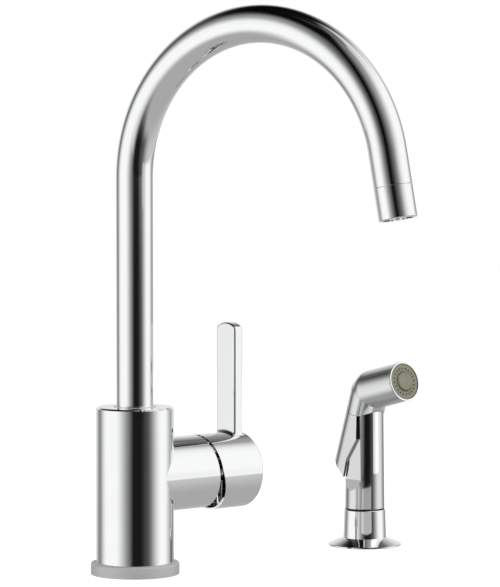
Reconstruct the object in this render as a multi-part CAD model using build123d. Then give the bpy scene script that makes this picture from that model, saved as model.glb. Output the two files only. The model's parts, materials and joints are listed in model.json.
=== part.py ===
"""Single-handle gooseneck kitchen faucet with a side handle and a separate hand spray.

Frame: origin at the centre of the base ring's underside on the deck, +Z up, +X along the handle's
hub towards the hand spray, and the user stands on the -Y side. Lengths are in millimetres.
"""

import os
from math import acos, asin, cos, radians, sin, sqrt, tan

from build123d import *

# ---------------------------------------------------------------- fits and clearances
RUN_FIT = 0.05        # radial clearance of a shaft that turns or slides
LOOSE_FIT = 0.3       # gap round a part that only has to pass
SEAL_GAP = 0.05       # gap left between a seal and the wall that it bears on
LAP_GAP = 0.02        # gap between the two lapped ceramic faces

# ---------------------------------------------------------------- faucet body and base
RING_RADIUS = 28.55
RING_HEIGHT = 7.3
RING_EDGE = 1.0
GASKET_INNER = 20.0
GASKET_OUTER = 26.0
GASKET_THICKNESS = 1.6
BODY_RADIUS = 25.0
BODY_TOP = 107.7
BODY_EDGE = 1.0
SHANK_RADIUS = 16.0
SHANK_BORE = 13.5
SHANK_BOTTOM = -62.0
SHANK_THREAD_IN_BODY = 11.7
PORT_BLOCK_HEIGHT = 14.0
PORT_RADIUS = 4.5
PORT_OFFSET = 7.5
PORT_DEPTH = 11.0
WATERWAY_RADIUS = 3.0
OUTLET_WAY_RADIUS = 2.5
OUTLET_WAY_HEIGHT = 74.0
SPRAY_WAY_RADIUS = 2.6

# ---------------------------------------------------------------- deck hardware
DECK_THICKNESS = 25.0
RUBBER_WASHER_THICKNESS = 3.0
STEEL_WASHER_THICKNESS = 2.0
WASHER_RADIUS = 24.5
NUT_HEIGHT = 11.0
NUT_FLATS = 41.0

# ---------------------------------------------------------------- spout
TUBE_RADIUS = 11.9
TUBE_WALL = 1.2
ARCH_START = 254.8
ARCH_RADIUS = 96.3
ARCH_SWEEP = 169.4
OUTLET_STRAIGHT = 41.9
SPOUT_TURN = -75.75
SOCKET_RADIUS = 13.0
SOCKET_FLOOR = 84.0
STEM_BORE = 8.0
STEM_BOTTOM = SOCKET_FLOOR + 2.0
O_RING_SECTION = 0.95
O_RING_PITCH = 3.8
O_RING_HEIGHTS = (STEM_BOTTOM + 2.8, STEM_BOTTOM + 2.8 + O_RING_PITCH)
GLIDE_HEIGHT = O_RING_HEIGHTS[-1] + 2.8
GLIDE_WIDTH = 2.4
GLIDE_GROOVE = 1.4
TUBE_BOTTOM = GLIDE_HEIGHT + GLIDE_WIDTH + 1.2
STEM_IN_TUBE = 13.0
BUSHING_HEIGHT = 5.0
BUSHING_SINK = 0.4
BUSHING_SHOULDER = 13.9
AERATOR_LENGTH = 20.5
AERATOR_BORE = 9.4
AERATOR_SKIRT = 4.0
AERATOR_SKIRT_WALL = 1.4
AERATOR_INSERT_LENGTH = 9.0
AERATOR_RECESS = 2.2
AERATOR_HOLE_RADIUS = 0.8
AERATOR_HOLE_PITCH = 2.6
SCREEN_THICKNESS = 0.8
AERATOR_WASHER_THICKNESS = 1.6

# ---------------------------------------------------------------- hub and cartridge
HUB_HEIGHT = 62.2
HUB_RADIUS = 24.0
HUB_REACH = 51.9
RIM_SLANT = 5.0
RIM_TRIM = 3.0
HUB_MOUTH_RADIUS = 20.2
HUB_MOUTH_DEPTH = HUB_REACH - 7.9
CAVITY_FLOOR = HUB_REACH - 38.9
CARTRIDGE_RADIUS = 17.3
CARTRIDGE_WALL = 1.7
CARTRIDGE_TOP = HUB_REACH - 3.9
BASE_SEAL_THICKNESS = 1.4
CARTRIDGE_BASE_THICKNESS = 4.4
FIXED_DISC_THICKNESS = 4.5
MOVING_DISC_THICKNESS = 4.5
MOVING_DISC_RADIUS = 11.6
DRIVER_RADIUS = 11.0
DRIVER_THICKNESS = 8.6
PIVOT_X = HUB_REACH - 5.9
CARRIER_SEAT = PIVOT_X - 8.2
CARRIER_SHOULDER = PIVOT_X - 0.2
CARRIER_TOP = PIVOT_X + 4.5
CARRIER_NECK_RADIUS = 12.2
BALL_REACH = 10.0
BALL_RADIUS = 3.2
STEM_WIDTH = 9.0
STEM_PIN_RADIUS = 1.5
NUT_LIP_RADIUS = 13.4
NUT_TOP = HUB_REACH - 0.9
DOME_RADIUS = 20.7
DOME_WALL = 1.5
DOME_OPENING = 12.8
HANDLE_TILT = 20.0

# ---------------------------------------------------------------- diverter
DIVERTER_RADIUS = 5.6
DIVERTER_BORE = 3.8
DIVERTER_FLOOR = 71.0
DIVERTER_THROAT = 2.9
DIVERTER_LEDGE = 76.8
DIVERTER_LEDGE_THICKNESS = 0.8
DIVERTER_LIFT = 2.4
DIVERTER_WINDOW = 4.4
PISTON_LENGTH = 3.0

# ---------------------------------------------------------------- handle
CAP_RADIUS = 25.07
CAP_DROP = 0.9
CAP_END = HUB_REACH + 37.25
CAP_END_ROUND = 2.1
CAP_GAP = 2.1
CAP_RELIEF_SLANT = 15.0
CAP_RELIEF_START = 2.0
CAP_CAVITY_RADIUS = 22.9
CAP_CAVITY_DROP = 1.85
CAP_CAVITY_END = CAP_END - 6.15
CAP_MOUTH_RADIUS = 24.0
CAP_MOUTH_DEPTH = 4.0
CAP_BOSS_RADIUS = 8.0
CAP_BOSS_START = HUB_REACH + 14.7
SOCKET_END = CAP_CAVITY_END - 1.0
LEVER_X = HUB_REACH + 28.4
LEVER_THICKNESS = 7.2
LEVER_WIDTH = 18.4
LEVER_TOP = 158.9
LEVER_TOP_RISE = 3.0
LEVER_CORNER = 2.0
LEVER_EDGE = 1.2
LEVER_BASE_FILLET = 2.2
SET_SCREW_RADIUS = 2.5
SET_SCREW_X = HUB_REACH + 22.1
SET_SCREW_LENGTH = 8.0
SCREW_PLUG_LENGTH = 2.5

# ---------------------------------------------------------------- spray holder
SPRAY_X = 203.2
FLANGE_RADIUS = 25.1
FLANGE_RIM = 1.3
FLANGE_RISE = 5.4
COLLAR_BASE_RADIUS = 14.75
COLLAR_TOP_RADIUS = 14.15
COLLAR_TOP = 24.8
COLLAR_LIP = 2.0
HOLDER_GASKET_INSET = 3.0
HOLDER_GASKET_WIDTH = 5.0
HOLDER_GASKET_THICKNESS = 0.8
HOLDER_SHANK_RADIUS = 13.2
HOLDER_SHANK_BORE = 11.8
HOLDER_BORE = 11.3
LINER_RADIUS = 12.4
LINER_FLANGE_RADIUS = 13.6
LINER_FLANGE = 0.3
HOLDER_SHANK_BOTTOM = -48.0
HOLDER_WASHER_RADIUS = 20.0
HOLDER_NUT_HEIGHT = 9.0
HOLDER_NUT_FLATS = 34.0

# ---------------------------------------------------------------- hand spray
SPRAY_SEAM = 0.6
HANDLE_BASE_RADIUS = 13.6
HANDLE_TOP_RADIUS = 12.75
HANDLE_TOP = 96.0
KNUCKLE_START = 92.0
KNUCKLE_RADIUS = 13.1
PIVOT_Y = -4.5
PIVOT_Z = 105.3
HEAD_Y = -7.65
HEAD_Z = 107.65
HEAD_TILT = 13.7
HEAD_BACK_RADIUS = 13.65
HEAD_RADIUS = 13.6
HEAD_FRONT_RADIUS = 13.3
HEAD_LENGTH = 32.6
BEND_RISE = 14.0
FACE_RING_LENGTH = 1.4
FACE_RING_PROUD = 0.2
FACE_RING_EDGE = 0.45
FACE_RECESS = 0.5
FACE_RADIUS = 12.5
FACE_THICKNESS = 3.0
FACE_BOSS_RADIUS = 6.1
FACE_BOSS_RISE = 1.5
NOZZLE_COUNT = 20
NOZZLE_CIRCLE = 9.0
NOZZLE_RADIUS = 0.55
CORE_RADIUS = 6.4
CORE_BORE = 3.2
HEAD_CHAMBER_RADIUS = 10.4
HEAD_CHAMBER_LENGTH = 6.0
PLUG_RADIUS = 10.9
PLUG_BOTTOM = 1.5
PLUG_COUNTERBORE = 11.4
PLUG_TOP = 31.5
HOSE_THREAD_RADIUS = 5.9
HOSE_THREAD_DEPTH = 16.0

# ---------------------------------------------------------------- thumb lever of the hand spray
THUMB_SLANT = 17.9
THUMB_SWING = 6.0
THUMB_RADIUS = 13.0
THUMB_WALL = 1.7
THUMB_SEAM_RADIUS = 15.0
THUMB_FRONT_Y = -4.8
THUMB_FRONT_BREAK_Z = 74.0
THUMB_FRONT_LOW = (5.0, 60.0)
THUMB_CORNER = (23.4, 63.0)
THUMB_TOE = (8.0, 47.3)
THUMB_TIP_ROUND = 7.0
FLAT_HALF_WIDTH = 11.0
FLAT_BOTTOM = 45.8
FLAT_RAMP_BOTTOM = 37.0
FLAT_FRONT_Y = -11.1
EAR_INNER = 8.3
EAR_OUTER = 10.3
EAR_RADIUS = 4.0
EAR_LENGTH = 21.0
EAR_LINK_START = 16.0
PIN_RADIUS = 1.5
PIN_INNER = 7.2
PIN_OUTER = 11.6
PLUNGER_Z = 72.0
PLUNGER_RADIUS = 1.5
PLUNGER_TIP_Y = 15.2
POPPET_RADIUS = 2.8
POPPET_LENGTH = 1.8
VALVE_BORE = 3.0
VALVE_SEAT_Y = 2.7
VALVE_OUTLET_RADIUS = 2.3
VALVE_OUTLET_Y = 5.4
VALVE_LINK_RADIUS = 1.5
VALVE_WEB = 6.0
GUIDE_RADIUS = 4.5
GUIDE_TIP_Y = 11.2
GUIDE_SHOULDER_RADIUS = 6.2
GUIDE_SHOULDER_Y = 8.0
PUSH_PAD_RADIUS = 3.2
SPRING_SEAT_RADIUS = 6.2
SPRING_SEAT_Y = 16.2
SPRING_SEAT_LIFT = 1.0
SPRING_RADIUS = 5.3
SPRING_WIRE = 0.3
SPRING_TURNS = 4
WINDOW_RADIUS = 7.4
WINDOW_DROP = 1.1

UP = Vector(0, 0, 1)
FAR = 200.0


# ---------------------------------------------------------------- small helpers
def rod(radius, low, high):
    """A solid cylinder on the Z axis between two heights."""
    return Pos(0, 0, (low + high) / 2) * Cylinder(radius, high - low)


def sleeve(outer, inner, low, high):
    """A tube on the Z axis between two heights."""
    return rod(outer, low, high) - rod(inner, low, high)


def block(x_low, x_high, y_low, y_high, z_low, z_high):
    """A box from its lowest to its highest corner."""
    middle = Pos((x_low + x_high) / 2, (y_low + y_high) / 2, (z_low + z_high) / 2)
    return middle * Box(x_high - x_low, y_high - y_low, z_high - z_low)


def turned(points):
    """Revolve a closed outline of (radius, height) points about the Z axis."""
    outline = make_face(Plane.XZ * Polyline(*points, close=True))
    return revolve(outline, Axis.Z, 360)


def on_hub(part):
    """Lay a part that was made along +Z onto the hub's axis, so that Z becomes +X."""
    return Pos(0, 0, HUB_HEIGHT) * Rot(0, 90, 0) * part


def hub_rod(radius, start, end):
    """A solid cylinder on the hub's axis between two X places."""
    return on_hub(rod(radius, start, end))


def side_profile(edges, half_width):
    """Extrude a closed outline in the Y-Z plane equally to both sides along X."""
    return extrude(make_face(Plane.YZ * edges), amount=half_width, both=True)


def hex_nut(flats, bore, low, height, edge):
    """A hexagon nut with turned corners."""
    blank = Pos(0, 0, low) * extrude(RegularPolygon(flats / 2, 6, major_radius=False), height)
    corner = flats / 2 / cos(radians(30))
    turned_blank = turned(
        [
            (0, low),
            (corner - edge, low),
            (corner, low + edge),
            (corner, low + height - edge),
            (corner - edge, low + height),
            (0, low + height),
        ]
    )
    return (blank & turned_blank) - rod(bore, low, low + height)


# ---------------------------------------------------------------- base and deck hardware
def base_ring():
    ring = sleeve(RING_RADIUS, SHANK_RADIUS + LOOSE_FIT, 0, RING_HEIGHT)
    top_edge = ring.edges().filter_by(GeomType.CIRCLE).sort_by(Axis.Z)[-2:].sort_by(SortBy.RADIUS)[-1]
    ring = fillet(top_edge, RING_EDGE)
    return ring - sleeve(GASKET_OUTER, GASKET_INNER, 0, GASKET_THICKNESS)


def base_gasket():
    return sleeve(GASKET_OUTER - SEAL_GAP, GASKET_INNER + SEAL_GAP, 0, GASKET_THICKNESS)


def mounting_shank():
    return sleeve(SHANK_RADIUS, SHANK_BORE, SHANK_BOTTOM, RING_HEIGHT + SHANK_THREAD_IN_BODY)


def clamp_stack(shank_radius, washer_radius, nut_flats, nut_height):
    """Rubber washer, steel washer and nut that clamp a threaded shank under the deck."""
    bore = shank_radius + LOOSE_FIT
    rubber_top = -DECK_THICKNESS
    steel_top = rubber_top - RUBBER_WASHER_THICKNESS
    nut_top = steel_top - STEEL_WASHER_THICKNESS
    rubber = sleeve(washer_radius, bore, steel_top, rubber_top)
    steel = sleeve(washer_radius, bore, nut_top, steel_top)
    nut = hex_nut(nut_flats, shank_radius, nut_top - nut_height, nut_height, 1.5)
    return rubber, steel, nut


# ---------------------------------------------------------------- faucet body
def port_block():
    """Brass block inside the body, with the two supply ports and the spray hose port."""
    floor = RING_HEIGHT + SHANK_THREAD_IN_BODY
    top = floor + PORT_BLOCK_HEIGHT
    part = rod(SHANK_RADIUS, floor, top)
    for x, y in ((0, PORT_OFFSET), (0, -PORT_OFFSET), (-PORT_OFFSET, 0)):
        part -= Pos(x, y, 0) * rod(PORT_RADIUS, floor, floor + PORT_DEPTH)
        part -= Pos(x, y, 0) * rod(SPRAY_WAY_RADIUS, floor, top)
    return part


def faucet_body():
    """The cast body: upright cylinder, side hub, spout socket, valve cavity and waterways."""
    part = rod(BODY_RADIUS, RING_HEIGHT, BODY_TOP)
    part = chamfer(part.edges().filter_by(GeomType.CIRCLE).sort_by(Axis.Z)[-1], BODY_EDGE)
    hub = hub_rod(HUB_RADIUS, 0, HUB_REACH + RIM_TRIM)
    hub -= rim_cutter(HUB_REACH, RIM_SLANT)
    part += hub
    part -= hub_rod(CARTRIDGE_RADIUS + LOOSE_FIT, CAVITY_FLOOR, CAP_END)
    part -= hub_rod(HUB_MOUTH_RADIUS, HUB_MOUTH_DEPTH, CAP_END)
    part -= rod(SOCKET_RADIUS, SOCKET_FLOOR, BODY_TOP)
    part -= rod(BUSHING_SHOULDER, BODY_TOP - BUSHING_HEIGHT, BODY_TOP)
    floor = RING_HEIGHT + SHANK_THREAD_IN_BODY + PORT_BLOCK_HEIGHT
    part -= rod(SHANK_RADIUS, RING_HEIGHT, floor)
    for side in (-1, 1):
        supply_height = HUB_HEIGHT - WATERWAY_RADIUS
        part -= Pos(0, side * PORT_OFFSET, 0) * rod(WATERWAY_RADIUS, floor, supply_height)
        part -= Pos(0, side * PORT_OFFSET, supply_height - HUB_HEIGHT) * hub_rod(
            WATERWAY_RADIUS, 0, CAVITY_FLOOR
        )
    part -= rod(DIVERTER_RADIUS, DIVERTER_FLOOR, SOCKET_FLOOR)
    part -= Pos(0, 0, outlet_rise()) * hub_rod(OUTLET_WAY_RADIUS, 0, CAVITY_FLOOR)
    part -= Pos(-PORT_OFFSET, 0, 0) * rod(SPRAY_WAY_RADIUS, floor, SOCKET_FLOOR - 2)
    return part


def outlet_rise():
    """Height of the mixed-water way above the hub's axis."""
    return OUTLET_WAY_HEIGHT - HUB_HEIGHT


def rim_cutter(reach, slant):
    """Everything beyond a plane that crosses the hub's axis at reach and leans by slant."""
    half_space = block(0, FAR, -FAR / 2, FAR / 2, -FAR / 2, FAR / 2)
    return Pos(reach, 0, HUB_HEIGHT) * Rot(0, -slant, 0) * half_space


# ---------------------------------------------------------------- diverter
def diverter_cage():
    """Plastic sleeve in the body that guides the piston, with side windows to both waterways."""
    outer = DIVERTER_RADIUS - SEAL_GAP
    ledge_top = DIVERTER_LEDGE + DIVERTER_LEDGE_THICKNESS
    lip = ledge_top + PISTON_LENGTH + DIVERTER_LIFT + SEAL_GAP
    cage = turned(
        [
            (DIVERTER_BORE, DIVERTER_FLOOR),
            (outer, DIVERTER_FLOOR),
            (outer, SOCKET_FLOOR),
            (DIVERTER_THROAT, SOCKET_FLOOR),
            (DIVERTER_THROAT, lip),
            (DIVERTER_BORE, lip),
            (DIVERTER_BORE, ledge_top),
            (DIVERTER_THROAT, ledge_top),
            (DIVERTER_THROAT, DIVERTER_LEDGE),
            (DIVERTER_BORE, DIVERTER_LEDGE),
        ]
    )
    half = DIVERTER_WINDOW / 2
    inlet_low = OUTLET_WAY_HEIGHT - half
    cage -= block(0, FAR, -half, half, inlet_low, inlet_low + DIVERTER_WINDOW)
    cage -= block(-FAR, 0, -half, half, ledge_top + 1, lip - 1)
    return cage


def diverter_piston():
    """Loose fluted piston that lifts and closes the spout when the hand spray draws water."""
    low = DIVERTER_LEDGE + DIVERTER_LEDGE_THICKNESS
    radius = DIVERTER_BORE - RUN_FIT
    piston = turned(
        [
            (0, low),
            (radius, low),
            (radius, low + 1),
            (radius - 1.2, low + 1),
            (radius - 1.2, low + 1.8),
            (radius, low + 1.8),
            (radius, low + 2.2),
            (radius - 1.2, low + PISTON_LENGTH),
            (0, low + PISTON_LENGTH),
        ]
    )
    for quarter in range(4):
        flute = block(radius - 0.9, FAR, -0.6, 0.6, low, low + 1)
        piston -= Rot(0, 0, 90 * quarter + 45) * flute
    return piston


# ---------------------------------------------------------------- spout
def spout_plane():
    """The upright plane that the gooseneck lies in: local X is the reach, local Y is up."""
    reach = Vector(cos(radians(SPOUT_TURN)), sin(radians(SPOUT_TURN)), 0)
    return Plane(origin=(0, 0, 0), x_dir=reach, z_dir=reach.cross(UP))


def spout_end(back):
    """Point on the spout's centre line, measured back from the outlet, and the flow direction."""
    angle = radians(180 - ARCH_SWEEP)
    flow_reach = sin(angle)
    flow_drop = -cos(angle)
    along = OUTLET_STRAIGHT - back
    reach = ARCH_RADIUS + ARCH_RADIUS * cos(angle) + flow_reach * along
    height = ARCH_START + ARCH_RADIUS * sin(angle) + flow_drop * along
    return (reach, height), (flow_reach, flow_drop)


def on_outlet(part):
    """Place a part made along +Z, with Z = 0 at the outlet's end and +Z back up the tube."""
    (reach, height), (flow_reach, flow_drop) = spout_end(0)
    plane = spout_plane()
    origin = plane.from_local_coords(Vector(reach, height, 0))
    upstream = plane.from_local_coords(Vector(-flow_reach, -flow_drop, 0))
    return Plane(origin=origin, x_dir=plane.z_dir, z_dir=upstream) * part


def spout_tube():
    """Gooseneck: a straight riser, one arch and a short straight fall to the aerator seam."""
    plane = spout_plane()
    (end_reach, end_height), _ = spout_end(AERATOR_LENGTH)
    (arch_reach, arch_height), _ = spout_end(OUTLET_STRAIGHT)
    riser = Line((0, TUBE_BOTTOM), (0, ARCH_START))
    arch = CenterArc((ARCH_RADIUS, ARCH_START), ARCH_RADIUS, 180, -ARCH_SWEEP)
    fall = Line((arch_reach, arch_height), (end_reach, end_height))
    path = plane * (Curve() + [riser, arch, fall])
    section = Circle(TUBE_RADIUS) - Circle(TUBE_RADIUS - TUBE_WALL)
    return sweep(Plane((0, 0, TUBE_BOTTOM)) * section, path=path)


def spout_stem():
    """Turned brass stem that is brazed into the tube and turns in the body's socket."""
    inside_tube = TUBE_RADIUS - TUBE_WALL
    wall = SOCKET_RADIUS - 2 * RUN_FIT
    points = [(STEM_BORE, STEM_BOTTOM), (wall, STEM_BOTTOM)]
    for height in O_RING_HEIGHTS:
        half = O_RING_SECTION + SEAL_GAP
        root = wall - 2 * O_RING_SECTION
        points += [(wall, height - half), (root, height - half)]
        points += [(root, height + half), (wall, height + half)]
    glide_root = wall - GLIDE_GROOVE
    glide_top = GLIDE_HEIGHT + GLIDE_WIDTH
    points += [(wall, GLIDE_HEIGHT), (glide_root, GLIDE_HEIGHT), (glide_root, glide_top)]
    points += [(TUBE_RADIUS, glide_top), (TUBE_RADIUS, TUBE_BOTTOM), (inside_tube, TUBE_BOTTOM)]
    stem_top = TUBE_BOTTOM + STEM_IN_TUBE
    points += [(inside_tube, stem_top), (STEM_BORE, stem_top)]
    return turned(points)


def spout_o_rings():
    wall = SOCKET_RADIUS - 2 * RUN_FIT
    section = O_RING_SECTION - SEAL_GAP
    centre = wall - 2 * O_RING_SECTION + section + SEAL_GAP
    rings = [Pos(0, 0, height) * Torus(centre, section) for height in O_RING_HEIGHTS]
    return Compound(children=[ring.solid() for ring in rings])


def spout_glide_ring():
    """Split plastic ring that carries the stem in the socket."""
    wall = SOCKET_RADIUS - 2 * RUN_FIT
    outer = SOCKET_RADIUS - RUN_FIT
    inner = wall - GLIDE_GROOVE + SEAL_GAP
    ring = sleeve(outer, inner, GLIDE_HEIGHT + SEAL_GAP, GLIDE_HEIGHT + GLIDE_WIDTH)
    return ring - block(0, FAR, -0.6, 0.6, GLIDE_HEIGHT, GLIDE_HEIGHT + GLIDE_WIDTH)


def spout_bushing():
    """Plastic bushing pressed into the body's top, round the foot of the tube."""
    low = GLIDE_HEIGHT + GLIDE_WIDTH + LOOSE_FIT
    seat = BODY_TOP - BUSHING_HEIGHT
    inner = TUBE_RADIUS + RUN_FIT
    bushing = sleeve(SOCKET_RADIUS - SEAL_GAP, inner, low, seat)
    return bushing + sleeve(BUSHING_SHOULDER, inner, seat, BODY_TOP - BUSHING_SINK)


def aerator_housing():
    """Screwed end piece, flush with the tube, with a lip round the outlet."""
    inner = TUBE_RADIUS - TUBE_WALL
    return on_outlet(
        turned(
            [
                (AERATOR_BORE, 0),
                (TUBE_RADIUS - 0.6, 0),
                (TUBE_RADIUS, 0.6),
                (TUBE_RADIUS, AERATOR_LENGTH - 0.5),
                (TUBE_RADIUS - 0.4, AERATOR_LENGTH - 0.2),
                (inner, AERATOR_LENGTH - 0.2),
                (inner - SEAL_GAP, AERATOR_LENGTH + AERATOR_SKIRT),
                (inner - AERATOR_SKIRT_WALL, AERATOR_LENGTH + AERATOR_SKIRT),
                (inner - AERATOR_SKIRT_WALL, insert_low()),
                (AERATOR_BORE, AERATOR_RECESS),
            ]
        )
    )


def insert_low():
    """Height of the ledge that the flow former stands on."""
    return AERATOR_RECESS + 1.2


def aerator_stack_radius():
    return TUBE_RADIUS - TUBE_WALL - AERATOR_SKIRT_WALL - SEAL_GAP


def aerator_insert():
    """Flow former with a hexagonal field of jets."""
    radius = aerator_stack_radius()
    low = insert_low()
    high = low + AERATOR_INSERT_LENGTH
    body = rod(radius, low, high)
    body -= rod(radius - 1.5, low + 2, high)
    rows = 3
    jets = []
    for row in range(-rows, rows + 1):
        for column in range(-rows, rows + 1):
            x = AERATOR_HOLE_PITCH * (column + row / 2)
            y = AERATOR_HOLE_PITCH * row * sqrt(3) / 2
            if x * x + y * y < (radius - 2) ** 2:
                jets.append(Pos(x, y, low + 1) * Cylinder(AERATOR_HOLE_RADIUS, 4))
    return on_outlet(body - jets)


def aerator_screen():
    radius = aerator_stack_radius()
    low = insert_low() + AERATOR_INSERT_LENGTH
    dome = turned(
        [
            (0, low + 1.6),
            (radius - 2, low),
            (radius, low),
            (radius, low + SCREEN_THICKNESS),
            (radius - 2, low + SCREEN_THICKNESS),
            (0, low + 1.6 + SCREEN_THICKNESS),
        ]
    )
    return on_outlet(dome)


def aerator_washer():
    radius = aerator_stack_radius()
    low = insert_low() + AERATOR_INSERT_LENGTH + SCREEN_THICKNESS
    return on_outlet(sleeve(radius, radius - 1.9, low, low + AERATOR_WASHER_THICKNESS))


# ---------------------------------------------------------------- cartridge
def seal_top():
    return CAVITY_FLOOR + BASE_SEAL_THICKNESS


def base_top():
    return seal_top() + CARTRIDGE_BASE_THICKNESS


def fixed_disc_top():
    return base_top() + FIXED_DISC_THICKNESS


def moving_disc_top():
    return fixed_disc_top() + LAP_GAP + MOVING_DISC_THICKNESS


def port_holes(radius, start, end):
    """The two supply ways and the outlet way through the foot of the cartridge."""
    inlet_drop = -WATERWAY_RADIUS
    holes = Pos(0, 0, outlet_rise()) * hub_rod(radius, start, end)
    for side in (-1, 1):
        holes += Pos(0, side * PORT_OFFSET, inlet_drop) * hub_rod(radius, start, end)
    return holes


def base_seal():
    disc = hub_rod(CARTRIDGE_RADIUS - 1, CAVITY_FLOOR, seal_top())
    return disc - port_holes(WATERWAY_RADIUS, CAVITY_FLOOR, seal_top())


def cartridge_base():
    disc = hub_rod(CARTRIDGE_RADIUS, seal_top(), base_top())
    return disc - port_holes(WATERWAY_RADIUS, seal_top(), base_top())


def fixed_disc():
    disc = hub_rod(CARTRIDGE_RADIUS - CARTRIDGE_WALL - SEAL_GAP, base_top(), fixed_disc_top())
    return disc - port_holes(WATERWAY_RADIUS, base_top(), fixed_disc_top())


def cartridge_housing():
    """Plastic shell of the cartridge, with the lip that holds the temperature carrier in."""
    wall = CARTRIDGE_RADIUS - CARTRIDGE_WALL
    neck = CARRIER_NECK_RADIUS + LOOSE_FIT / 2
    shoulder = CARRIER_SHOULDER + RUN_FIT
    return on_hub(
        turned(
            [
                (wall, base_top()),
                (CARTRIDGE_RADIUS, base_top()),
                (CARTRIDGE_RADIUS, CARTRIDGE_TOP),
                (neck, CARTRIDGE_TOP),
                (neck, shoulder),
                (wall, shoulder),
            ]
        )
    )


def bonnet_nut():
    """Brass ring nut that clamps the cartridge into the hub."""
    outer = HUB_MOUTH_RADIUS
    return on_hub(
        turned(
            [
                (CARTRIDGE_RADIUS + SEAL_GAP, HUB_MOUTH_DEPTH),
                (outer, HUB_MOUTH_DEPTH),
                (outer, NUT_TOP),
                (NUT_LIP_RADIUS, NUT_TOP),
                (NUT_LIP_RADIUS, CARTRIDGE_TOP),
                (CARTRIDGE_RADIUS + SEAL_GAP, CARTRIDGE_TOP),
            ]
        )
    )


def bonnet_dome():
    """Dark dome between hub and handle: part of a sphere about the handle's pivot."""
    foot = NUT_TOP - PIVOT_X
    inner = DOME_RADIUS - DOME_WALL
    edges = Curve()
    ends = []
    for radius in (DOME_RADIUS, inner):
        low = asin(foot / radius)
        high = acos(DOME_OPENING / radius)
        spots = [(radius * cos(angle), radius * sin(angle)) for angle in (low, (low + high) / 2, high)]
        edges += ThreePointArc(*spots)
        ends.append((spots[0], spots[2]))
    edges += Line(ends[0][0], ends[1][0])
    edges += Line(ends[0][1], ends[1][1])
    dome = revolve(make_face(Plane.XZ * edges), Axis.Z, 360)
    return on_hub(Pos(0, 0, PIVOT_X) * dome)


def moving_disc():
    """Ceramic disc that slides and turns on the fixed one, with its mixing pocket."""
    low = fixed_disc_top() + LAP_GAP
    disc = hub_rod(MOVING_DISC_RADIUS, low, moving_disc_top())
    return disc - Pos(0, 0, 1) * hub_rod(MOVING_DISC_RADIUS * 0.62, low, low + 2.2)


def disc_driver():
    """Plastic driver that sits on the moving disc and takes the stem's ball."""
    low = moving_disc_top()
    driver = hub_rod(DRIVER_RADIUS, low, low + DRIVER_THICKNESS)
    pocket_floor = PIVOT_X - BALL_REACH - BALL_RADIUS - 1
    return driver - hub_rod(BALL_RADIUS + RUN_FIT * 4, pocket_floor, low + DRIVER_THICKNESS)


def cartridge_carrier():
    """Plastic rotor that carries the stem's pin and turns for temperature."""
    wall = CARTRIDGE_RADIUS - CARTRIDGE_WALL - RUN_FIT
    rotor = hub_rod(wall, CARRIER_SEAT, CARRIER_SHOULDER)
    rotor += hub_rod(CARRIER_NECK_RADIUS, CARRIER_SHOULDER, CARRIER_TOP)
    half = STEM_WIDTH / 2 + RUN_FIT * 2
    swing = tan(radians(HANDLE_TILT)) * (CARRIER_TOP - PIVOT_X) + 1
    slot = block(CARRIER_SEAT, CARRIER_TOP, -half, half, -half - swing, half + swing)
    rotor -= Pos(0, 0, HUB_HEIGHT) * slot
    pin_hole = Pos(PIVOT_X, 0, HUB_HEIGHT) * Rot(90, 0, 0) * Cylinder(STEM_PIN_RADIUS, FAR)
    return rotor - pin_hole


def stem_pin():
    length = 2 * sqrt(CARRIER_NECK_RADIUS**2 - STEM_PIN_RADIUS**2) - 0.6
    return Pos(PIVOT_X, 0, HUB_HEIGHT) * Rot(90, 0, 0) * Cylinder(STEM_PIN_RADIUS, length)


def valve_stem():
    """Metal stem: ball at the disc, barrel on the pin, square end for the handle."""
    stem = Pos(PIVOT_X - BALL_REACH, 0, HUB_HEIGHT) * Sphere(BALL_RADIUS)
    stem += hub_rod(BALL_RADIUS * 0.8, PIVOT_X - BALL_REACH, PIVOT_X)
    half = STEM_WIDTH / 2
    stem += Pos(PIVOT_X, 0, HUB_HEIGHT) * Rot(90, 0, 0) * Cylinder(half, STEM_WIDTH)
    square = block(PIVOT_X, SOCKET_END - 1, -half, half, -half, half)
    stem += Pos(0, 0, HUB_HEIGHT) * square
    bore = Cylinder(STEM_PIN_RADIUS + RUN_FIT, STEM_WIDTH)
    return stem - Pos(PIVOT_X, 0, HUB_HEIGHT) * Rot(90, 0, 0) * bore


# ---------------------------------------------------------------- handle
def lever_blade():
    """Upright blade with an arched top, rounded corners and softened edges."""
    foot = HUB_HEIGHT - CAP_CAVITY_DROP + CAP_CAVITY_RADIUS * 0.85
    half = LEVER_WIDTH / 2
    shoulder = LEVER_TOP - LEVER_TOP_RISE
    left = Line((-half, foot), (-half, shoulder))
    top = ThreePointArc((-half, shoulder), (0, LEVER_TOP), (half, shoulder))
    right = Line((half, shoulder), (half, foot))
    bottom = Line((half, foot), (-half, foot))
    outline = make_face(Plane.YZ * (Curve() + [left, top, right, bottom]))
    upper = outline.vertices().sort_by(Axis.Z)[-2:]
    outline = fillet(upper, LEVER_CORNER)
    blade = Pos(LEVER_X, 0, 0) * extrude(outline, amount=LEVER_THICKNESS / 2, both=True)
    faces = blade.faces().filter_by(Axis.X)
    long_edges = faces[0].edges() + faces[-1].edges()
    rim = [edge for edge in long_edges if edge.center().Z > foot + 1]
    return fillet(rim, LEVER_EDGE)


def cap_blank():
    """The round cap as a solid, with its softened end edge."""
    low = HUB_REACH - RIM_TRIM
    blank = Pos(0, 0, -CAP_DROP) * hub_rod(CAP_RADIUS, low, CAP_END)
    end_edge = blank.edges().filter_by(GeomType.CIRCLE).sort_by(Axis.X)[-1]
    return fillet(end_edge, CAP_END_ROUND)


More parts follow.
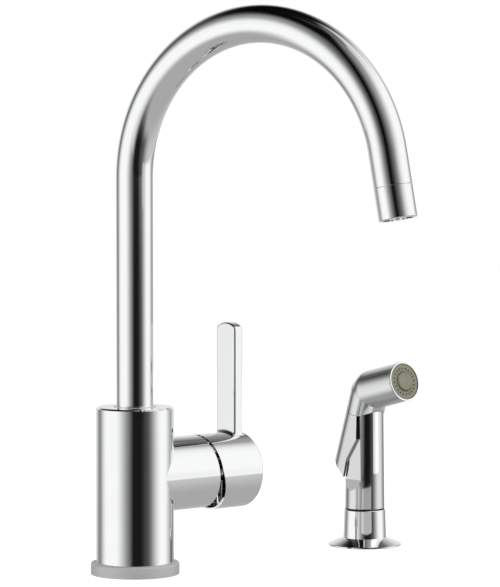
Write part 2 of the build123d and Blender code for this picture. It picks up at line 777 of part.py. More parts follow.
def handle():
    """Zinc handle: the round cap and the upright lever in one hollow casting."""
    cap = cap_blank() + lever_blade()
    cap = fillet(lever_base_edges(cap), LEVER_BASE_FILLET)
    cap -= Pos(0, 0, -CAP_CAVITY_DROP) * hub_rod(CAP_CAVITY_RADIUS, 0, CAP_CAVITY_END)
    cap -= cap_mouth()
    boss = hub_rod(CAP_BOSS_RADIUS, CAP_BOSS_START, CAP_CAVITY_END)
    screw_boss = rod(SET_SCREW_RADIUS + 2, cap_underside() + 0.6, HUB_HEIGHT)
    cap += boss + Pos(SET_SCREW_X, 0, 0) * screw_boss
    half_socket = STEM_WIDTH / 2 + RUN_FIT
    socket = block(CAP_BOSS_START, SOCKET_END, -half_socket, half_socket, -half_socket, half_socket)
    cap -= Pos(0, 0, HUB_HEIGHT) * socket
    cap -= Pos(SET_SCREW_X, 0, 0) * rod(SET_SCREW_RADIUS, cap_underside() - 1, HUB_HEIGHT)
    return cap - rim_keep_cutter()


def lever_base_edges(cap):
    """The edges where the lever meets the round of the cap."""
    axis_height = HUB_HEIGHT - CAP_DROP
    low = axis_height + sqrt(CAP_RADIUS**2 - (LEVER_WIDTH / 2) ** 2) - LOOSE_FIT
    high = axis_height + CAP_RADIUS + LOOSE_FIT
    reach = LEVER_THICKNESS / 2 + LOOSE_FIT
    edges = cap.edges().filter_by_position(Axis.Z, low, high)
    return edges.filter_by_position(Axis.X, LEVER_X - reach, LEVER_X + reach)


def cap_underside():
    return HUB_HEIGHT - CAP_DROP - CAP_RADIUS


def cap_mouth():
    """Wider mouth inside the cap's rim, so that it clears the hub when the lever is lifted."""
    full = HUB_REACH + CAP_GAP + CAP_RADIUS * tan(radians(CAP_RELIEF_SLANT))
    mouth = turned(
        [
            (0, HUB_REACH - RIM_TRIM),
            (CAP_MOUTH_RADIUS, HUB_REACH - RIM_TRIM),
            (CAP_MOUTH_RADIUS, full),
            (CAP_CAVITY_RADIUS, full + CAP_MOUTH_DEPTH),
            (0, full + CAP_MOUTH_DEPTH),
        ]
    )
    return Pos(0, 0, -CAP_DROP) * on_hub(mouth)


def rim_keep_cutter():
    """What lies on the hub's side of the cap's rim: one slant above, a steeper one below."""
    half_space = block(-FAR, 0, -FAR / 2, FAR / 2, -FAR / 2, FAR / 2)
    rim = HUB_REACH + CAP_GAP
    upper = Pos(rim, 0, HUB_HEIGHT) * Rot(0, -RIM_SLANT, 0) * half_space
    relief_x = rim - CAP_RELIEF_START * tan(radians(RIM_SLANT))
    relief_z = HUB_HEIGHT + CAP_RELIEF_START
    lower = Pos(relief_x, 0, relief_z) * Rot(0, -CAP_RELIEF_SLANT, 0) * half_space
    lower &= block(0, FAR, -FAR / 2, FAR / 2, relief_z - FAR / 2, relief_z)
    return upper + lower


def set_screw():
    """Grub screw that clamps the handle onto the stem, with its hexagon socket."""
    top = HUB_HEIGHT - STEM_WIDTH / 2
    low = top - SET_SCREW_LENGTH
    screw = rod(SET_SCREW_RADIUS, low, top)
    key = Pos(0, 0, low) * extrude(RegularPolygon(1.25, 6, major_radius=False), 3)
    return Pos(SET_SCREW_X, 0, 0) * (screw - key)


def set_screw_plug():
    """Small cap over the screw, flush with the underside of the handle."""
    low = cap_underside() + 0.2
    plug = rod(SET_SCREW_RADIUS, low, low + SCREW_PLUG_LENGTH)
    return Pos(SET_SCREW_X, 0, 0) * plug


# ---------------------------------------------------------------- spray holder
def spray_holder():
    """Chrome trim: thin-rimmed flange that rises in a cone to the collar."""
    bore = HOLDER_SHANK_RADIUS
    lip = LINER_RADIUS
    holder = turned(
        [
            (bore, 0),
            (FLANGE_RADIUS - 0.4, 0),
            (FLANGE_RADIUS, 0.4),
            (FLANGE_RADIUS, FLANGE_RIM - 0.3),
            (FLANGE_RADIUS - 0.5, FLANGE_RIM),
            (COLLAR_BASE_RADIUS, FLANGE_RISE),
            (COLLAR_TOP_RADIUS, COLLAR_TOP - 0.4),
            (COLLAR_TOP_RADIUS - 0.4, COLLAR_TOP),
            (lip, COLLAR_TOP),
            (lip, COLLAR_TOP - COLLAR_LIP),
            (bore, COLLAR_TOP - COLLAR_LIP),
        ]
    )
    return holder - holder_gasket()


def holder_gasket():
    """Foam ring in the groove under the flange."""
    outer = FLANGE_RADIUS - HOLDER_GASKET_INSET
    return sleeve(outer, outer - HOLDER_GASKET_WIDTH, 0, HOLDER_GASKET_THICKNESS)


def holder_shank():
    """Threaded plastic tube below the flange; the spray hose runs down through it."""
    shank = sleeve(HOLDER_SHANK_RADIUS, LINER_RADIUS, 0, COLLAR_TOP - COLLAR_LIP)
    return shank + sleeve(HOLDER_SHANK_RADIUS, HOLDER_SHANK_BORE, HOLDER_SHANK_BOTTOM, 0)


def holder_liner():
    """Black guide bushing with a thin flange that shows between collar and grip."""
    liner = sleeve(LINER_RADIUS, HOLDER_BORE, 0, COLLAR_TOP)
    return liner + sleeve(LINER_FLANGE_RADIUS, HOLDER_BORE, COLLAR_TOP, COLLAR_TOP + LINER_FLANGE)


# ---------------------------------------------------------------- hand spray
def at_pivot(part):
    """Move a part from the origin to the thumb lever's pivot."""
    return Pos(0, PIVOT_Y, PIVOT_Z) * part


def at_head(part):
    """Move a part from the origin to the middle of the bend, where the head's axis starts."""
    return Pos(0, HEAD_Y, HEAD_Z) * part


def on_head(part):
    """Lay a part that was made along +Z onto the head's axis, so that +Z points at the face."""
    return at_head(Rot(90 - HEAD_TILT, 0, 0) * part)


def head_rod(radius, start, end):
    """A cylinder along the spray head's axis, measured from the bend towards the face."""
    return on_head(rod(radius, start, end))


def thumb_rod(radius, start, end, slant):
    """A cylinder along the thumb lever's axis, measured down from the pivot."""
    return at_pivot(Rot(180 + slant, 0, 0) * rod(radius, start, end))


def thumb_channel(radius, length, slant):
    """A U-shaped prism: round at the back, straight sides towards the front."""
    tall = rod(radius, 0, length)
    front = block(-radius, radius, 0, FAR / 4, 0, length)
    return at_pivot(Rot(180 + slant, 0, 0) * (tall + front))


def seam_drum(radius, half_width):
    """A drum about the thumb lever's pivot axis."""
    return at_pivot(Rot(0, 90, 0) * Cylinder(radius, 2 * half_width))


def handle_bottom():
    return COLLAR_TOP + SPRAY_SEAM


def grip():
    """The tapered round grip, whose top end runs into the round back of the bend."""
    low = handle_bottom()
    slope = (HANDLE_BASE_RADIUS - HANDLE_TOP_RADIUS) / (HANDLE_TOP - low)
    neck_radius = HANDLE_TOP_RADIUS + slope * (HANDLE_TOP - KNUCKLE_START)
    lower = turned(
        [
            (0, low),
            (HANDLE_BASE_RADIUS - 0.4, low),
            (HANDLE_BASE_RADIUS, low + 0.6),
            (neck_radius, KNUCKLE_START),
            (0, KNUCKLE_START),
        ]
    )
    upper = rod(neck_radius, KNUCKLE_START, PIVOT_Z)
    return lower + (upper & thumb_channel(THUMB_RADIUS, 2 * THUMB_SEAM_RADIUS, THUMB_SLANT))


def bend():
    """The ball-shaped bend: a body of revolution round two spheres of unlike size."""
    start = Vector(0, PIVOT_Y, PIVOT_Z)
    way = Vector(0, HEAD_Y, HEAD_Z) - start
    lean = asin((HEAD_BACK_RADIUS - KNUCKLE_RADIUS) / way.length)
    low_touch = (KNUCKLE_RADIUS * cos(lean), -KNUCKLE_RADIUS * sin(lean))
    high_touch = (HEAD_BACK_RADIUS * cos(lean), way.length - HEAD_BACK_RADIUS * sin(lean))
    low_half = (radians(-90) - lean) / 2
    high_half = (radians(90) - lean) / 2
    low_spot = (KNUCKLE_RADIUS * cos(low_half), KNUCKLE_RADIUS * sin(low_half))
    high_spot = (
        HEAD_BACK_RADIUS * cos(high_half),
        way.length + HEAD_BACK_RADIUS * sin(high_half),
    )
    low_pole = (0, -KNUCKLE_RADIUS)
    high_pole = (0, way.length + HEAD_BACK_RADIUS)
    outline = Curve() + [
        ThreePointArc(low_pole, low_spot, low_touch),
        Line(low_touch, high_touch),
        ThreePointArc(high_touch, high_spot, high_pole),
        Line(high_pole, low_pole),
    ]
    ball = revolve(make_face(Plane.XZ * outline), Axis.Z, 360)
    return Plane(origin=start, z_dir=way) * ball


def spray_face_start():
    return HEAD_LENGTH - FACE_RECESS - FACE_THICKNESS


def sprayer_shell():
    """Moulded housing: grip, tilted head and the ball-shaped bend, cut for the thumb lever."""
    head = Pos(0, 0, HEAD_LENGTH / 2) * Cone(HEAD_RADIUS, HEAD_FRONT_RADIUS, HEAD_LENGTH)
    heel = thumb_rod(THUMB_RADIUS, 0, 2 * THUMB_SEAM_RADIUS, THUMB_SLANT)
    shell = grip() + bend() + on_head(head) + (heel & seam_drum(THUMB_SEAM_RADIUS, FAR))
    shell -= thumb_lever_room()
    shell -= ear_room()
    shell -= head_rod(FACE_RADIUS, spray_face_start(), FAR)
    shell -= head_rod(2 * HEAD_RADIUS, HEAD_LENGTH - FACE_RING_LENGTH, FAR)
    chamber_start = spray_face_start() - HEAD_CHAMBER_LENGTH
    shell -= head_rod(HEAD_CHAMBER_RADIUS + SEAL_GAP, chamber_start, FAR)
    shell -= head_rod(CORE_RADIUS + SEAL_GAP, 0, FAR)
    shell -= at_head(Sphere(CORE_RADIUS + SEAL_GAP))
    shell -= core_riser(CORE_RADIUS + SEAL_GAP, handle_bottom())
    shell -= rod(PLUG_COUNTERBORE, 0, PLUG_TOP)
    shell -= Pos(0, 0, -WINDOW_DROP) * guide_rod(WINDOW_RADIUS, 0, FAR)
    return shell - pins(PIN_RADIUS)


def core_riser(radius, low):
    """The core's way up: straight in the grip, then over to the head's axis at the bend."""
    knee = HEAD_Z - BEND_RISE
    lean_length = sqrt(HEAD_Y**2 + BEND_RISE**2)
    lean_angle = Vector(0, HEAD_Y, BEND_RISE).get_angle(UP)
    lean = Pos(0, 0, knee) * Rot(lean_angle, 0, 0) * rod(radius, 0, lean_length)
    return rod(radius, low, knee) + Pos(0, 0, knee) * Sphere(radius) + lean


def thumb_lever_room():
    """The space at the back and sides of the grip that the thumb lever needs to swing."""
    flat = Polyline(
        (FLAT_HALF_WIDTH, PIVOT_Z),
        (FLAT_HALF_WIDTH, FLAT_BOTTOM),
        (HANDLE_BASE_RADIUS + LOOSE_FIT, FLAT_RAMP_BOTTOM),
        (FAR, FLAT_RAMP_BOTTOM),
        (FAR, PIVOT_Z),
        close=True,
    )
    room = extrude(make_face(Plane.XZ * flat), amount=FAR, both=True)
    room &= block(0, FAR, FLAT_FRONT_Y, FAR, 0, FAR)
    behind = block(-FAR / 4, FAR / 4, 0, FAR / 2, FLAT_BOTTOM, PIVOT_Z)
    behind -= thumb_channel(FLAT_HALF_WIDTH, FAR / 2, THUMB_SLANT - THUMB_SWING)
    return (room + mirror(room, Plane.YZ) + behind) - seam_drum(THUMB_SEAM_RADIUS, FAR)


def ear_room():
    """Pockets inside the bend for the thumb lever's two ears, over their whole swing."""
    middle = THUMB_SLANT - THUMB_SWING / 2
    reach = EAR_LENGTH + 2
    half = EAR_RADIUS + LOOSE_FIT + reach * tan(radians(THUMB_SWING / 2))
    slot = Rot(180 + middle, 0, 0) * block(
        EAR_INNER - LOOSE_FIT, EAR_OUTER + LOOSE_FIT, -half, half, 0, reach
    )
    eye = Rot(0, 90, 0) * rod(EAR_RADIUS + LOOSE_FIT, EAR_INNER - LOOSE_FIT, EAR_OUTER + LOOSE_FIT)
    exit_start = THUMB_SEAM_RADIUS + LOOSE_FIT
    exit_slot = Rot(180 + middle, 0, 0) * block(EAR_INNER, THUMB_RADIUS, -half, half, exit_start, reach)
    pocket = at_pivot(slot + eye + exit_slot)
    return pocket + mirror(pocket, Plane.YZ)


def pins(radius):
    """Two short pins on the thumb lever's pivot axis."""
    pin = at_pivot(Rot(0, 90, 0) * rod(radius, PIN_INNER, PIN_OUTER))
    return pin + mirror(pin, Plane.YZ)


def guide_rod(radius, start, end):
    """A cylinder on the valve plunger's axis between two Y places."""
    return Pos(0, 0, PLUNGER_Z) * Rot(-90, 0, 0) * rod(radius, start, end)


def sprayer_core():
    """Waterway inside the housing: riser, head tube, outlet chamber and valve guide."""
    chamber_start = spray_face_start() - HEAD_CHAMBER_LENGTH
    core = core_riser(CORE_RADIUS, PLUG_TOP)
    core += at_head(Sphere(CORE_RADIUS))
    core += head_rod(CORE_RADIUS, 0, chamber_start)
    core += head_rod(HEAD_CHAMBER_RADIUS, chamber_start, spray_face_start())
    core += guide_rod(GUIDE_SHOULDER_RADIUS, 0, GUIDE_SHOULDER_Y)
    core += guide_rod(GUIDE_RADIUS, 0, GUIDE_TIP_Y)
    core -= core_riser(CORE_BORE, PLUG_TOP) - rod(CORE_RADIUS, PLUNGER_Z, PLUNGER_Z + VALVE_WEB)
    core -= at_head(Sphere(CORE_BORE))
    core -= head_rod(CORE_BORE, 0, spray_face_start())
    core -= head_rod(HEAD_CHAMBER_RADIUS - 1.6, chamber_start + 1.6, spray_face_start())
    core -= guide_rod(VALVE_BORE, -CORE_RADIUS + 2, VALVE_SEAT_Y)
    core -= guide_rod(VALVE_OUTLET_RADIUS, 0, VALVE_OUTLET_Y)
    link_y = VALVE_OUTLET_Y - VALVE_LINK_RADIUS + 0.1
    core -= Pos(0, link_y, 0) * rod(VALVE_LINK_RADIUS, PLUNGER_Z, PLUNGER_Z + VALVE_WEB + 2)
    return core - guide_rod(PLUNGER_RADIUS + RUN_FIT, 0, GUIDE_TIP_Y)


def hose_socket():
    """Plug at the grip's foot: docks in the holder and takes the spray hose's thread."""
    plug = turned(
        [
            (0, PLUG_BOTTOM),
            (PLUG_RADIUS - 1.5, PLUG_BOTTOM),
            (PLUG_RADIUS, PLUG_BOTTOM + 2.5),
            (PLUG_RADIUS, handle_bottom() + 0.2),
            (PLUG_COUNTERBORE, handle_bottom() + 0.6),
            (PLUG_COUNTERBORE, PLUG_TOP),
            (0, PLUG_TOP),
        ]
    )
    plug -= rod(HOSE_THREAD_RADIUS, PLUG_BOTTOM, PLUG_BOTTOM + HOSE_THREAD_DEPTH)
    return plug - rod(CORE_BORE, PLUG_BOTTOM, PLUG_TOP)


def spray_face_ring():
    """Thin bright ring round the end of the head."""
    ring = sleeve(HEAD_FRONT_RADIUS + FACE_RING_PROUD, FACE_RADIUS, 0, FACE_RING_LENGTH)
    outer = ring.edges().filter_by(GeomType.CIRCLE).sort_by(SortBy.RADIUS)[-2:]
    ring = fillet(outer, FACE_RING_EDGE)
    return on_head(Pos(0, 0, HEAD_LENGTH - FACE_RING_LENGTH) * ring)


def spray_face():
    """Spray plate with a ring of small nozzles round a raised middle."""
    low = spray_face_start()
    high = low + FACE_THICKNESS
    groove = FACE_BOSS_RADIUS + 1.0
    plate = turned(
        [
            (0, low),
            (FACE_RADIUS, low),
            (FACE_RADIUS, high - 0.5),
            (FACE_RADIUS - 0.5, high),
            (groove, high),
            (FACE_BOSS_RADIUS, high - 0.7),
            (FACE_BOSS_RADIUS, high + FACE_BOSS_RISE - 0.4),
            (FACE_BOSS_RADIUS - 0.4, high + FACE_BOSS_RISE),
            (0, high + FACE_BOSS_RISE),
        ]
    )
    nozzles = [
        Rot(0, 0, 360 * index / NOZZLE_COUNT)
        * Pos(NOZZLE_CIRCLE, 0, (low + high) / 2)
        * Cylinder(NOZZLE_RADIUS, 2 * FACE_THICKNESS)
        for index in range(NOZZLE_COUNT)
    ]
    return on_head(plate - nozzles)


def thumb_outline():
    """Side outline of the thumb lever, in the Y-Z plane."""
    toe_y, toe_z = THUMB_TOE
    low_y, low_z = THUMB_FRONT_LOW
    corner_y, corner_z = THUMB_CORNER
    return Polyline(
        (THUMB_FRONT_Y, PIVOT_Z),
        (THUMB_FRONT_Y, THUMB_FRONT_BREAK_Z),
        (low_y, low_z),
        (toe_y, toe_z),
        (corner_y, corner_z),
        (corner_y + FAR / 4, PIVOT_Z),
        close=True,
    )


def thumb_lever():
    """The long lever at the back: a channel that straddles the grip and hangs on two ears."""
    length = EAR_LENGTH * 3
    lever = thumb_channel(THUMB_RADIUS, length, THUMB_SLANT)
    lever -= thumb_channel(THUMB_RADIUS - THUMB_WALL, length, THUMB_SLANT)
    lever &= side_profile(thumb_outline(), THUMB_RADIUS + 1)
    lever -= seam_drum(THUMB_SEAM_RADIUS + LOOSE_FIT, FAR)
    ear = Rot(0, 90, 0) * rod(EAR_RADIUS, EAR_INNER, EAR_OUTER)
    strap = block(EAR_INNER, EAR_OUTER, -EAR_RADIUS, EAR_RADIUS, 0, EAR_LENGTH)
    link_outer = THUMB_RADIUS - THUMB_WALL / 2
    link = block(EAR_INNER, link_outer, -EAR_RADIUS, EAR_RADIUS, EAR_LINK_START, EAR_LENGTH)
    down = Rot(180 + THUMB_SLANT, 0, 0)
    hanger = at_pivot(ear + down * strap + down * link)
    lever += hanger + mirror(hanger, Plane.YZ)
    lever -= seam_drum(PIN_RADIUS + RUN_FIT, FAR)
    return lever + push_boss()


def push_boss():
    """Boss inside the thumb lever: a seat for the spring and a pad for the plunger."""
    pad = guide_rod(PUSH_PAD_RADIUS, PLUNGER_TIP_Y + LOOSE_FIT / 2, SPRING_SEAT_Y)
    boss = pad + guide_rod(SPRING_SEAT_RADIUS, SPRING_SEAT_Y, FAR / 4)
    inner = thumb_channel(THUMB_RADIUS - THUMB_WALL / 2, EAR_LENGTH * 3, THUMB_SLANT)
    return Pos(0, 0, SPRING_SEAT_LIFT) * boss & inner


def valve_plunger():
    """Plunger that the thumb lever pushes, with its poppet inside the core."""
    high = VALVE_SEAT_Y - SEAL_GAP
    plunger = guide_rod(PLUNGER_RADIUS, high - POPPET_LENGTH, PLUNGER_TIP_Y)
    return plunger + guide_rod(POPPET_RADIUS, high - POPPET_LENGTH, high)


def thumb_spring():
    """Coil spring between the valve guide and the thumb lever."""
    start = GUIDE_SHOULDER_Y + SPRING_WIRE + SEAL_GAP
    end = SPRING_SEAT_Y - SPRING_WIRE - SEAL_GAP
    height = end - start
    coil = Helix(height / SPRING_TURNS, height, SPRING_RADIUS)
    section = Plane(origin=coil @ 0, z_dir=coil % 0) * Circle(SPRING_WIRE)
    wire = sweep(section, path=coil, is_frenet=True)
    return Pos(0, start, PLUNGER_Z) * Rot(-90, 0, 0) * wire


# ---------------------------------------------------------------- assembly
def faucet_parts():
    rubber, steel, nut = clamp_stack(SHANK_RADIUS, WASHER_RADIUS, NUT_FLATS, NUT_HEIGHT)
    return {
        "base_ring": base_ring(),
        "base_gasket": base_gasket(),
        "faucet_body": faucet_body(),
        "port_block": port_block(),
        "mounting_shank": mounting_shank(),
        "shank_rubber_washer": rubber,
        "shank_steel_washer": steel,
        "mounting_nut": nut,
        "diverter_cage": diverter_cage(),
        "diverter_piston": diverter_piston(),
        "spout_bushing": spout_bushing(),
        "spout_tube": spout_tube(),
        "spout_stem": spout_stem(),
        "spout_o_rings": spout_o_rings(),
        "spout_glide_ring": spout_glide_ring(),
        "aerator_housing": aerator_housing(),
        "aerator_insert": aerator_insert(),
        "aerator_screen": aerator_screen(),
        "aerator_washer": aerator_washer(),
        "cartridge_base_seal": base_seal(),
        "cartridge_base": cartridge_base(),
        "cartridge_housing": cartridge_housing(),
        "fixed_disc": fixed_disc(),
        "bonnet_nut": bonnet_nut(),
        "bonnet_dome": bonnet_dome(),
        "moving_disc": moving_disc(),
        "disc_driver": disc_driver(),
        "temperature_carrier": cartridge_carrier(),
        "stem_pin": stem_pin(),
        "valve_stem": valve_stem(),
        "handle": handle(),
        "handle_set_screw": set_screw(),
        "set_screw_plug": set_screw_plug(),
    }


def spray_parts():
    rubber, steel, nut = clamp_stack(
        HOLDER_SHANK_RADIUS, HOLDER_WASHER_RADIUS, HOLDER_NUT_FLATS, HOLDER_NUT_HEIGHT
    )
    return {
        "spray_holder": spray_holder(),
        "holder_gasket": holder_gasket(),
        "holder_shank": holder_shank(),
        "holder_liner": holder_liner(),
        "holder_rubber_washer": rubber,
        "holder_steel_washer": steel,
        "holder_nut": nut,
        "sprayer_shell": sprayer_shell(),
        "sprayer_core": sprayer_core(),
        "hose_socket": hose_socket(),
        "spray_face": spray_face(),
        "spray_face_ring": spray_face_ring(),
        "thumb_pins": Compound(children=list(pins(PIN_RADIUS).solids())),
        "thumb_lever": thumb_lever(),
        "valve_plunger": valve_plunger(),
        "thumb_spring": thumb_spring(),
    }


def main():
    os.makedirs("parts", exist_ok=True)
    parts = faucet_parts()
    for name, part in spray_parts().items():
        parts[name] = Pos(SPRAY_X, 0, 0) * part
    for name, part in parts.items():
        export_step(part, f"parts/{name}.step")


main()
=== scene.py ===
"""Side spray kitchen faucet: turned, bent and threaded detail pieces, their finishes and a studio.

The packed model is the frame. Lengths are in metres, the origin is the centre of the base ring's
underside on the deck, +Z is up, +X runs along the handle's hub towards the hand spray, and the
user stands on the -Y side.
"""

import json
from math import cos, pi, radians, sin, tau

import bmesh
import bpy
from bpy.props import (
    FloatProperty,
    FloatVectorProperty,
    IntProperty,
    PointerProperty,
)
from bpy.types import Operator, Panel, PropertyGroup
from mathutils import Matrix, Vector


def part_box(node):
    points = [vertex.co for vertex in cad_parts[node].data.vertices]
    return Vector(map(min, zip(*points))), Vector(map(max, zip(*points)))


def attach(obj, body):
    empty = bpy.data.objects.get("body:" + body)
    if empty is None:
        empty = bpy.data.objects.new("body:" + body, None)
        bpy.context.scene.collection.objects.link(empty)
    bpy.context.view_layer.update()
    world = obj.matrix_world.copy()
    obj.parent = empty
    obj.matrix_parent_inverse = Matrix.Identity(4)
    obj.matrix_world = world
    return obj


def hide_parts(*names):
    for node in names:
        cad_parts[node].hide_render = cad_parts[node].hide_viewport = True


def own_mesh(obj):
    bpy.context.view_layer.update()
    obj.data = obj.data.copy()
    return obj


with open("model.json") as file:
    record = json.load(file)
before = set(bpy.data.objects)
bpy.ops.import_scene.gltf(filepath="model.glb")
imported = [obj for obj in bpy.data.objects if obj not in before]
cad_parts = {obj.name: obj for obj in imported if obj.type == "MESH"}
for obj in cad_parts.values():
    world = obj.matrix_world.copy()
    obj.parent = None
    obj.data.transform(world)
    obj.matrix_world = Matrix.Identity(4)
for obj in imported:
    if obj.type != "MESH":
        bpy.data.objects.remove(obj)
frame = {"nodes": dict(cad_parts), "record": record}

bl_info = {
    "name": "Side Spray Kitchen Faucet",
    "version": (1, 0, 0),
    "blender": (4, 5, 0),
    "location": "View3D > Sidebar > Faucet",
    "description": "Detail pieces, finishes and a studio for a gooseneck kitchen faucet with a hand spray",
    "category": "Object",
}

UP = Vector((0, 0, 1))
ROUND_STEPS = 72  # sides of a bore, and steps in one turn of a thread
CHAMFER_STEPS = 48  # cuts that turn a nut's corners
SPRING_STEPS = 24  # steps in one turn of the lever spring
LEVEL_SLACK = 0.00001  # how far an edge may lie from a height and still count as on it
CUT_SLACK = 0.0000001  # how near a cut a vertex counts as on it
NOZZLE_BEVEL = 0.0001  # bevel at the mouth of a nozzle tip
NOZZLE_TAPER = 0.0002  # how much slimmer a nozzle tip is at its top
# one tooth of the thread: 1 at its tip or 0 at its root, and the share of the pitch
TOOTH = ((0, 0.0), (0, 0.15), (1, 0.45), (1, 0.70), (0, 1.0))
NODE_SLOT = {row["node"]: row["material_slot"] for row in frame["record"]["subparts"]}


# ---------------------------------------------------------------- sizes and colours
def length(label, note, default):
    return FloatProperty(name=label, description=note, default=default, min=0.0, unit="LENGTH")


def angle(label, note, degrees):
    return FloatProperty(name=label, description=note, default=radians(degrees), subtype="ANGLE")


def share(label, note, default):
    return FloatProperty(name=label, description=note, default=default, min=0.0, max=1.0)


def colour(label, note, default):
    return FloatVectorProperty(
        name=label, description=note, default=default, min=0.0, max=1.0, size=3, subtype="COLOR"
    )


class FaucetSpoutSizes(PropertyGroup):
    """Sizes of the gooseneck tube."""

    tube_radius: length("Tube radius", "Outer radius of the gooseneck tube", 0.0119)
    tube_wall: length("Tube wall", "Wall thickness of the gooseneck tube", 0.0012)
    tube_bottom: length("Tube bottom", "Height of the tube's lower end in the body", 0.0990)
    arch_start: length("Arch start", "Height at which the straight riser ends", 0.2548)
    arch_radius: length("Arch radius", "Radius of the tube's centre line in the arch", 0.0963)
    arch_sweep: angle("Arch sweep", "Angle that the arch turns through", 169.4)
    outlet_fall: length("Outlet fall", "Straight length between the arch and the aerator", 0.0214)
    spout_turn: angle("Spout turn", "Heading of the spout, from the handle's side", -75.75)


class FaucetDeckSizes(PropertyGroup):
    """Sizes of the base ring and of the threaded hardware below the deck."""

    ring_radius: length("Ring radius", "Outer radius of the base ring", 0.02855)
    ring_bore: length("Ring bore", "Radius of the base ring's hole", 0.0163)
    ring_height: length("Ring height", "Height of the base ring", 0.0073)
    ring_edge: length("Ring edge", "Rounding of the base ring's upper rim", 0.0010)
    gasket_inner: length("Groove inner radius", "Inner radius of the gasket groove", 0.0200)
    gasket_outer: length("Groove outer radius", "Outer radius of the gasket groove", 0.0260)
    gasket_depth: length("Groove depth", "Depth of the gasket groove", 0.0016)
    shank_bore: length("Shank bore", "Radius of the hose passage through the shank", 0.0135)
    holder_bore: length("Holder bore", "Radius of the hose passage of the spray holder", 0.0118)
    liner_radius: length("Liner radius", "Radius that takes the spray holder's liner", 0.0124)
    thread_pitch: length("Thread pitch", "Rise of the shank threads in one turn", 0.0020)
    thread_depth: length("Thread depth", "Depth of the shank threads", 0.0009)
    thread_play: length("Thread play", "Gap between a nut's thread and its shank", 0.0001)
    nut_chamfer: length("Nut chamfer", "Width of the turned corners of the nuts", 0.0015)


class FaucetSpraySizes(PropertyGroup):
    """Sizes of the nozzle tips in the spray face and of the lever spring."""

    nozzle_count: IntProperty(name="Nozzles", description="Number of nozzles", default=20, min=3)
    nozzle_circle: length("Nozzle circle", "Radius of the circle of nozzles", 0.0090)
    nozzle_bore: length("Nozzle bore", "Radius of a nozzle's hole", 0.00055)
    nozzle_rim: length("Nozzle rim", "Outer radius of a nozzle tip", 0.00100)
    nozzle_rise: length("Nozzle rise", "Height of a nozzle tip above the plate", 0.00025)
    nozzle_root: length("Nozzle root", "Depth of a nozzle tip inside the plate", 0.0004)
    face_front: length("Face front", "Distance of the plate's front from the head's root", 0.0321)
    head_back: length("Head root setback", "How far the head's root lies towards the user", 0.00765)
    head_height: length("Head root height", "Height of the head's root above the deck", 0.10765)
    head_tilt: angle("Head tilt", "How far the head points up", 13.7)
    spring_turns: IntProperty(
        name="Spring turns", description="Turns of the lever spring", default=4, min=2
    )
    spring_wire: length("Spring wire", "Radius of the lever spring's wire", 0.0003)
    spring_travel: length("Spring travel", "How far a full press of the lever shortens its spring", 0.0042)


class FaucetFinishes(PropertyGroup):
    """Colours and polish of the finishes."""

    chrome: colour("Chrome", "Polished chrome plate", (0.94, 0.945, 0.95))
    plated: colour("Plated plastic", "Thin bright plate on the plastic hand spray", (0.74, 0.745, 0.75))
    chrome_polish: share("Chrome roughness", "Roughness of the polished plate", 0.035)
    satin: colour("Satin chrome", "Brushed plate of the base ring", (0.70, 0.70, 0.70))
    satin_polish: share("Satin roughness", "Roughness of the brushed plate", 0.60)
    brass: colour("Brass", "Turned brass", (0.72, 0.56, 0.28))
    steel: colour("Steel", "Stainless steel", (0.60, 0.60, 0.61))
    rubber: colour("Rubber", "Black rubber of seals and washers", (0.040, 0.040, 0.040))
    black_plastic: colour("Black plastic", "Black moulded plastic", (0.028, 0.028, 0.030))
    white_plastic: colour("White plastic", "Natural acetal", (0.83, 0.83, 0.80))
    face_plastic: colour("Spray face", "Grey-green plastic of the spray face", (0.31, 0.305, 0.22))
    ceramic: colour("Ceramic", "Lapped alumina discs", (0.88, 0.88, 0.85))


class FaucetStudio(PropertyGroup):
    """The floor, the lamps and the surroundings that the plate reflects."""

    floor_radius: length("Floor radius", "Radius of the pale floor", 1.6)
    floor_shade: share("Floor shade", "How much light the floor sends back", 0.55)
    floor_glow: share("Floor glow", "Light added to the floor where the camera sees it", 0.72)
    room_light: share("Room light", "Even light from all round", 0.72)
    lamp_power: FloatProperty(
        name="Lamp power", description="Power of the soft lamp", default=14.0, min=0.0, unit="POWER"
    )
    lamp_size: length("Lamp size", "Side of the soft lamp", 1.2)


# ---------------------------------------------------------------- nodes
def new_finish(name):
    """A material with its node tree and its shader."""
    material = bpy.data.materials.new(name)
    material.use_nodes = True
    tree = material.node_tree
    return material, tree, tree.nodes["Principled BSDF"]


def grain(tree, scale, detail=2.0, stretch=(1, 1, 1)):
    """Noise in the object's own metres, closer together where stretch is larger."""
    place = tree.nodes.new("ShaderNodeTexCoord")
    mapping = tree.nodes.new("ShaderNodeMapping")
    mapping.inputs["Scale"].default_value = stretch
    noise = tree.nodes.new("ShaderNodeTexNoise")
    noise.inputs["Scale"].default_value = scale
    noise.inputs["Detail"].default_value = detail
    tree.links.new(place.outputs["Object"], mapping.inputs["Vector"])
    tree.links.new(mapping.outputs["Vector"], noise.inputs["Vector"])
    return noise.outputs["Fac"]


def between(tree, source, low, high, into):
    """Feeds source, spread from low to high, into a shader's socket."""
    spread = tree.nodes.new("ShaderNodeMapRange")
    spread.inputs["From Min"].default_value = 0.3
    spread.inputs["From Max"].default_value = 0.7
    spread.inputs["To Min"].default_value = low
    spread.inputs["To Max"].default_value = high
    tree.links.new(source, spread.inputs["Value"])
    tree.links.new(spread.outputs["Result"], into)


def tinted(tree, source, base, darkest, into):
    """Colours a surface between darkest times base and base."""
    ramp = tree.nodes.new("ShaderNodeValToRGB")
    low, high = ramp.color_ramp.elements
    low.position, high.position = 0.3, 0.7
    low.color = (*(darkest * channel for channel in base), 1)
    high.color = (*base, 1)
    tree.links.new(source, ramp.inputs["Fac"])
    tree.links.new(ramp.outputs["Color"], into)


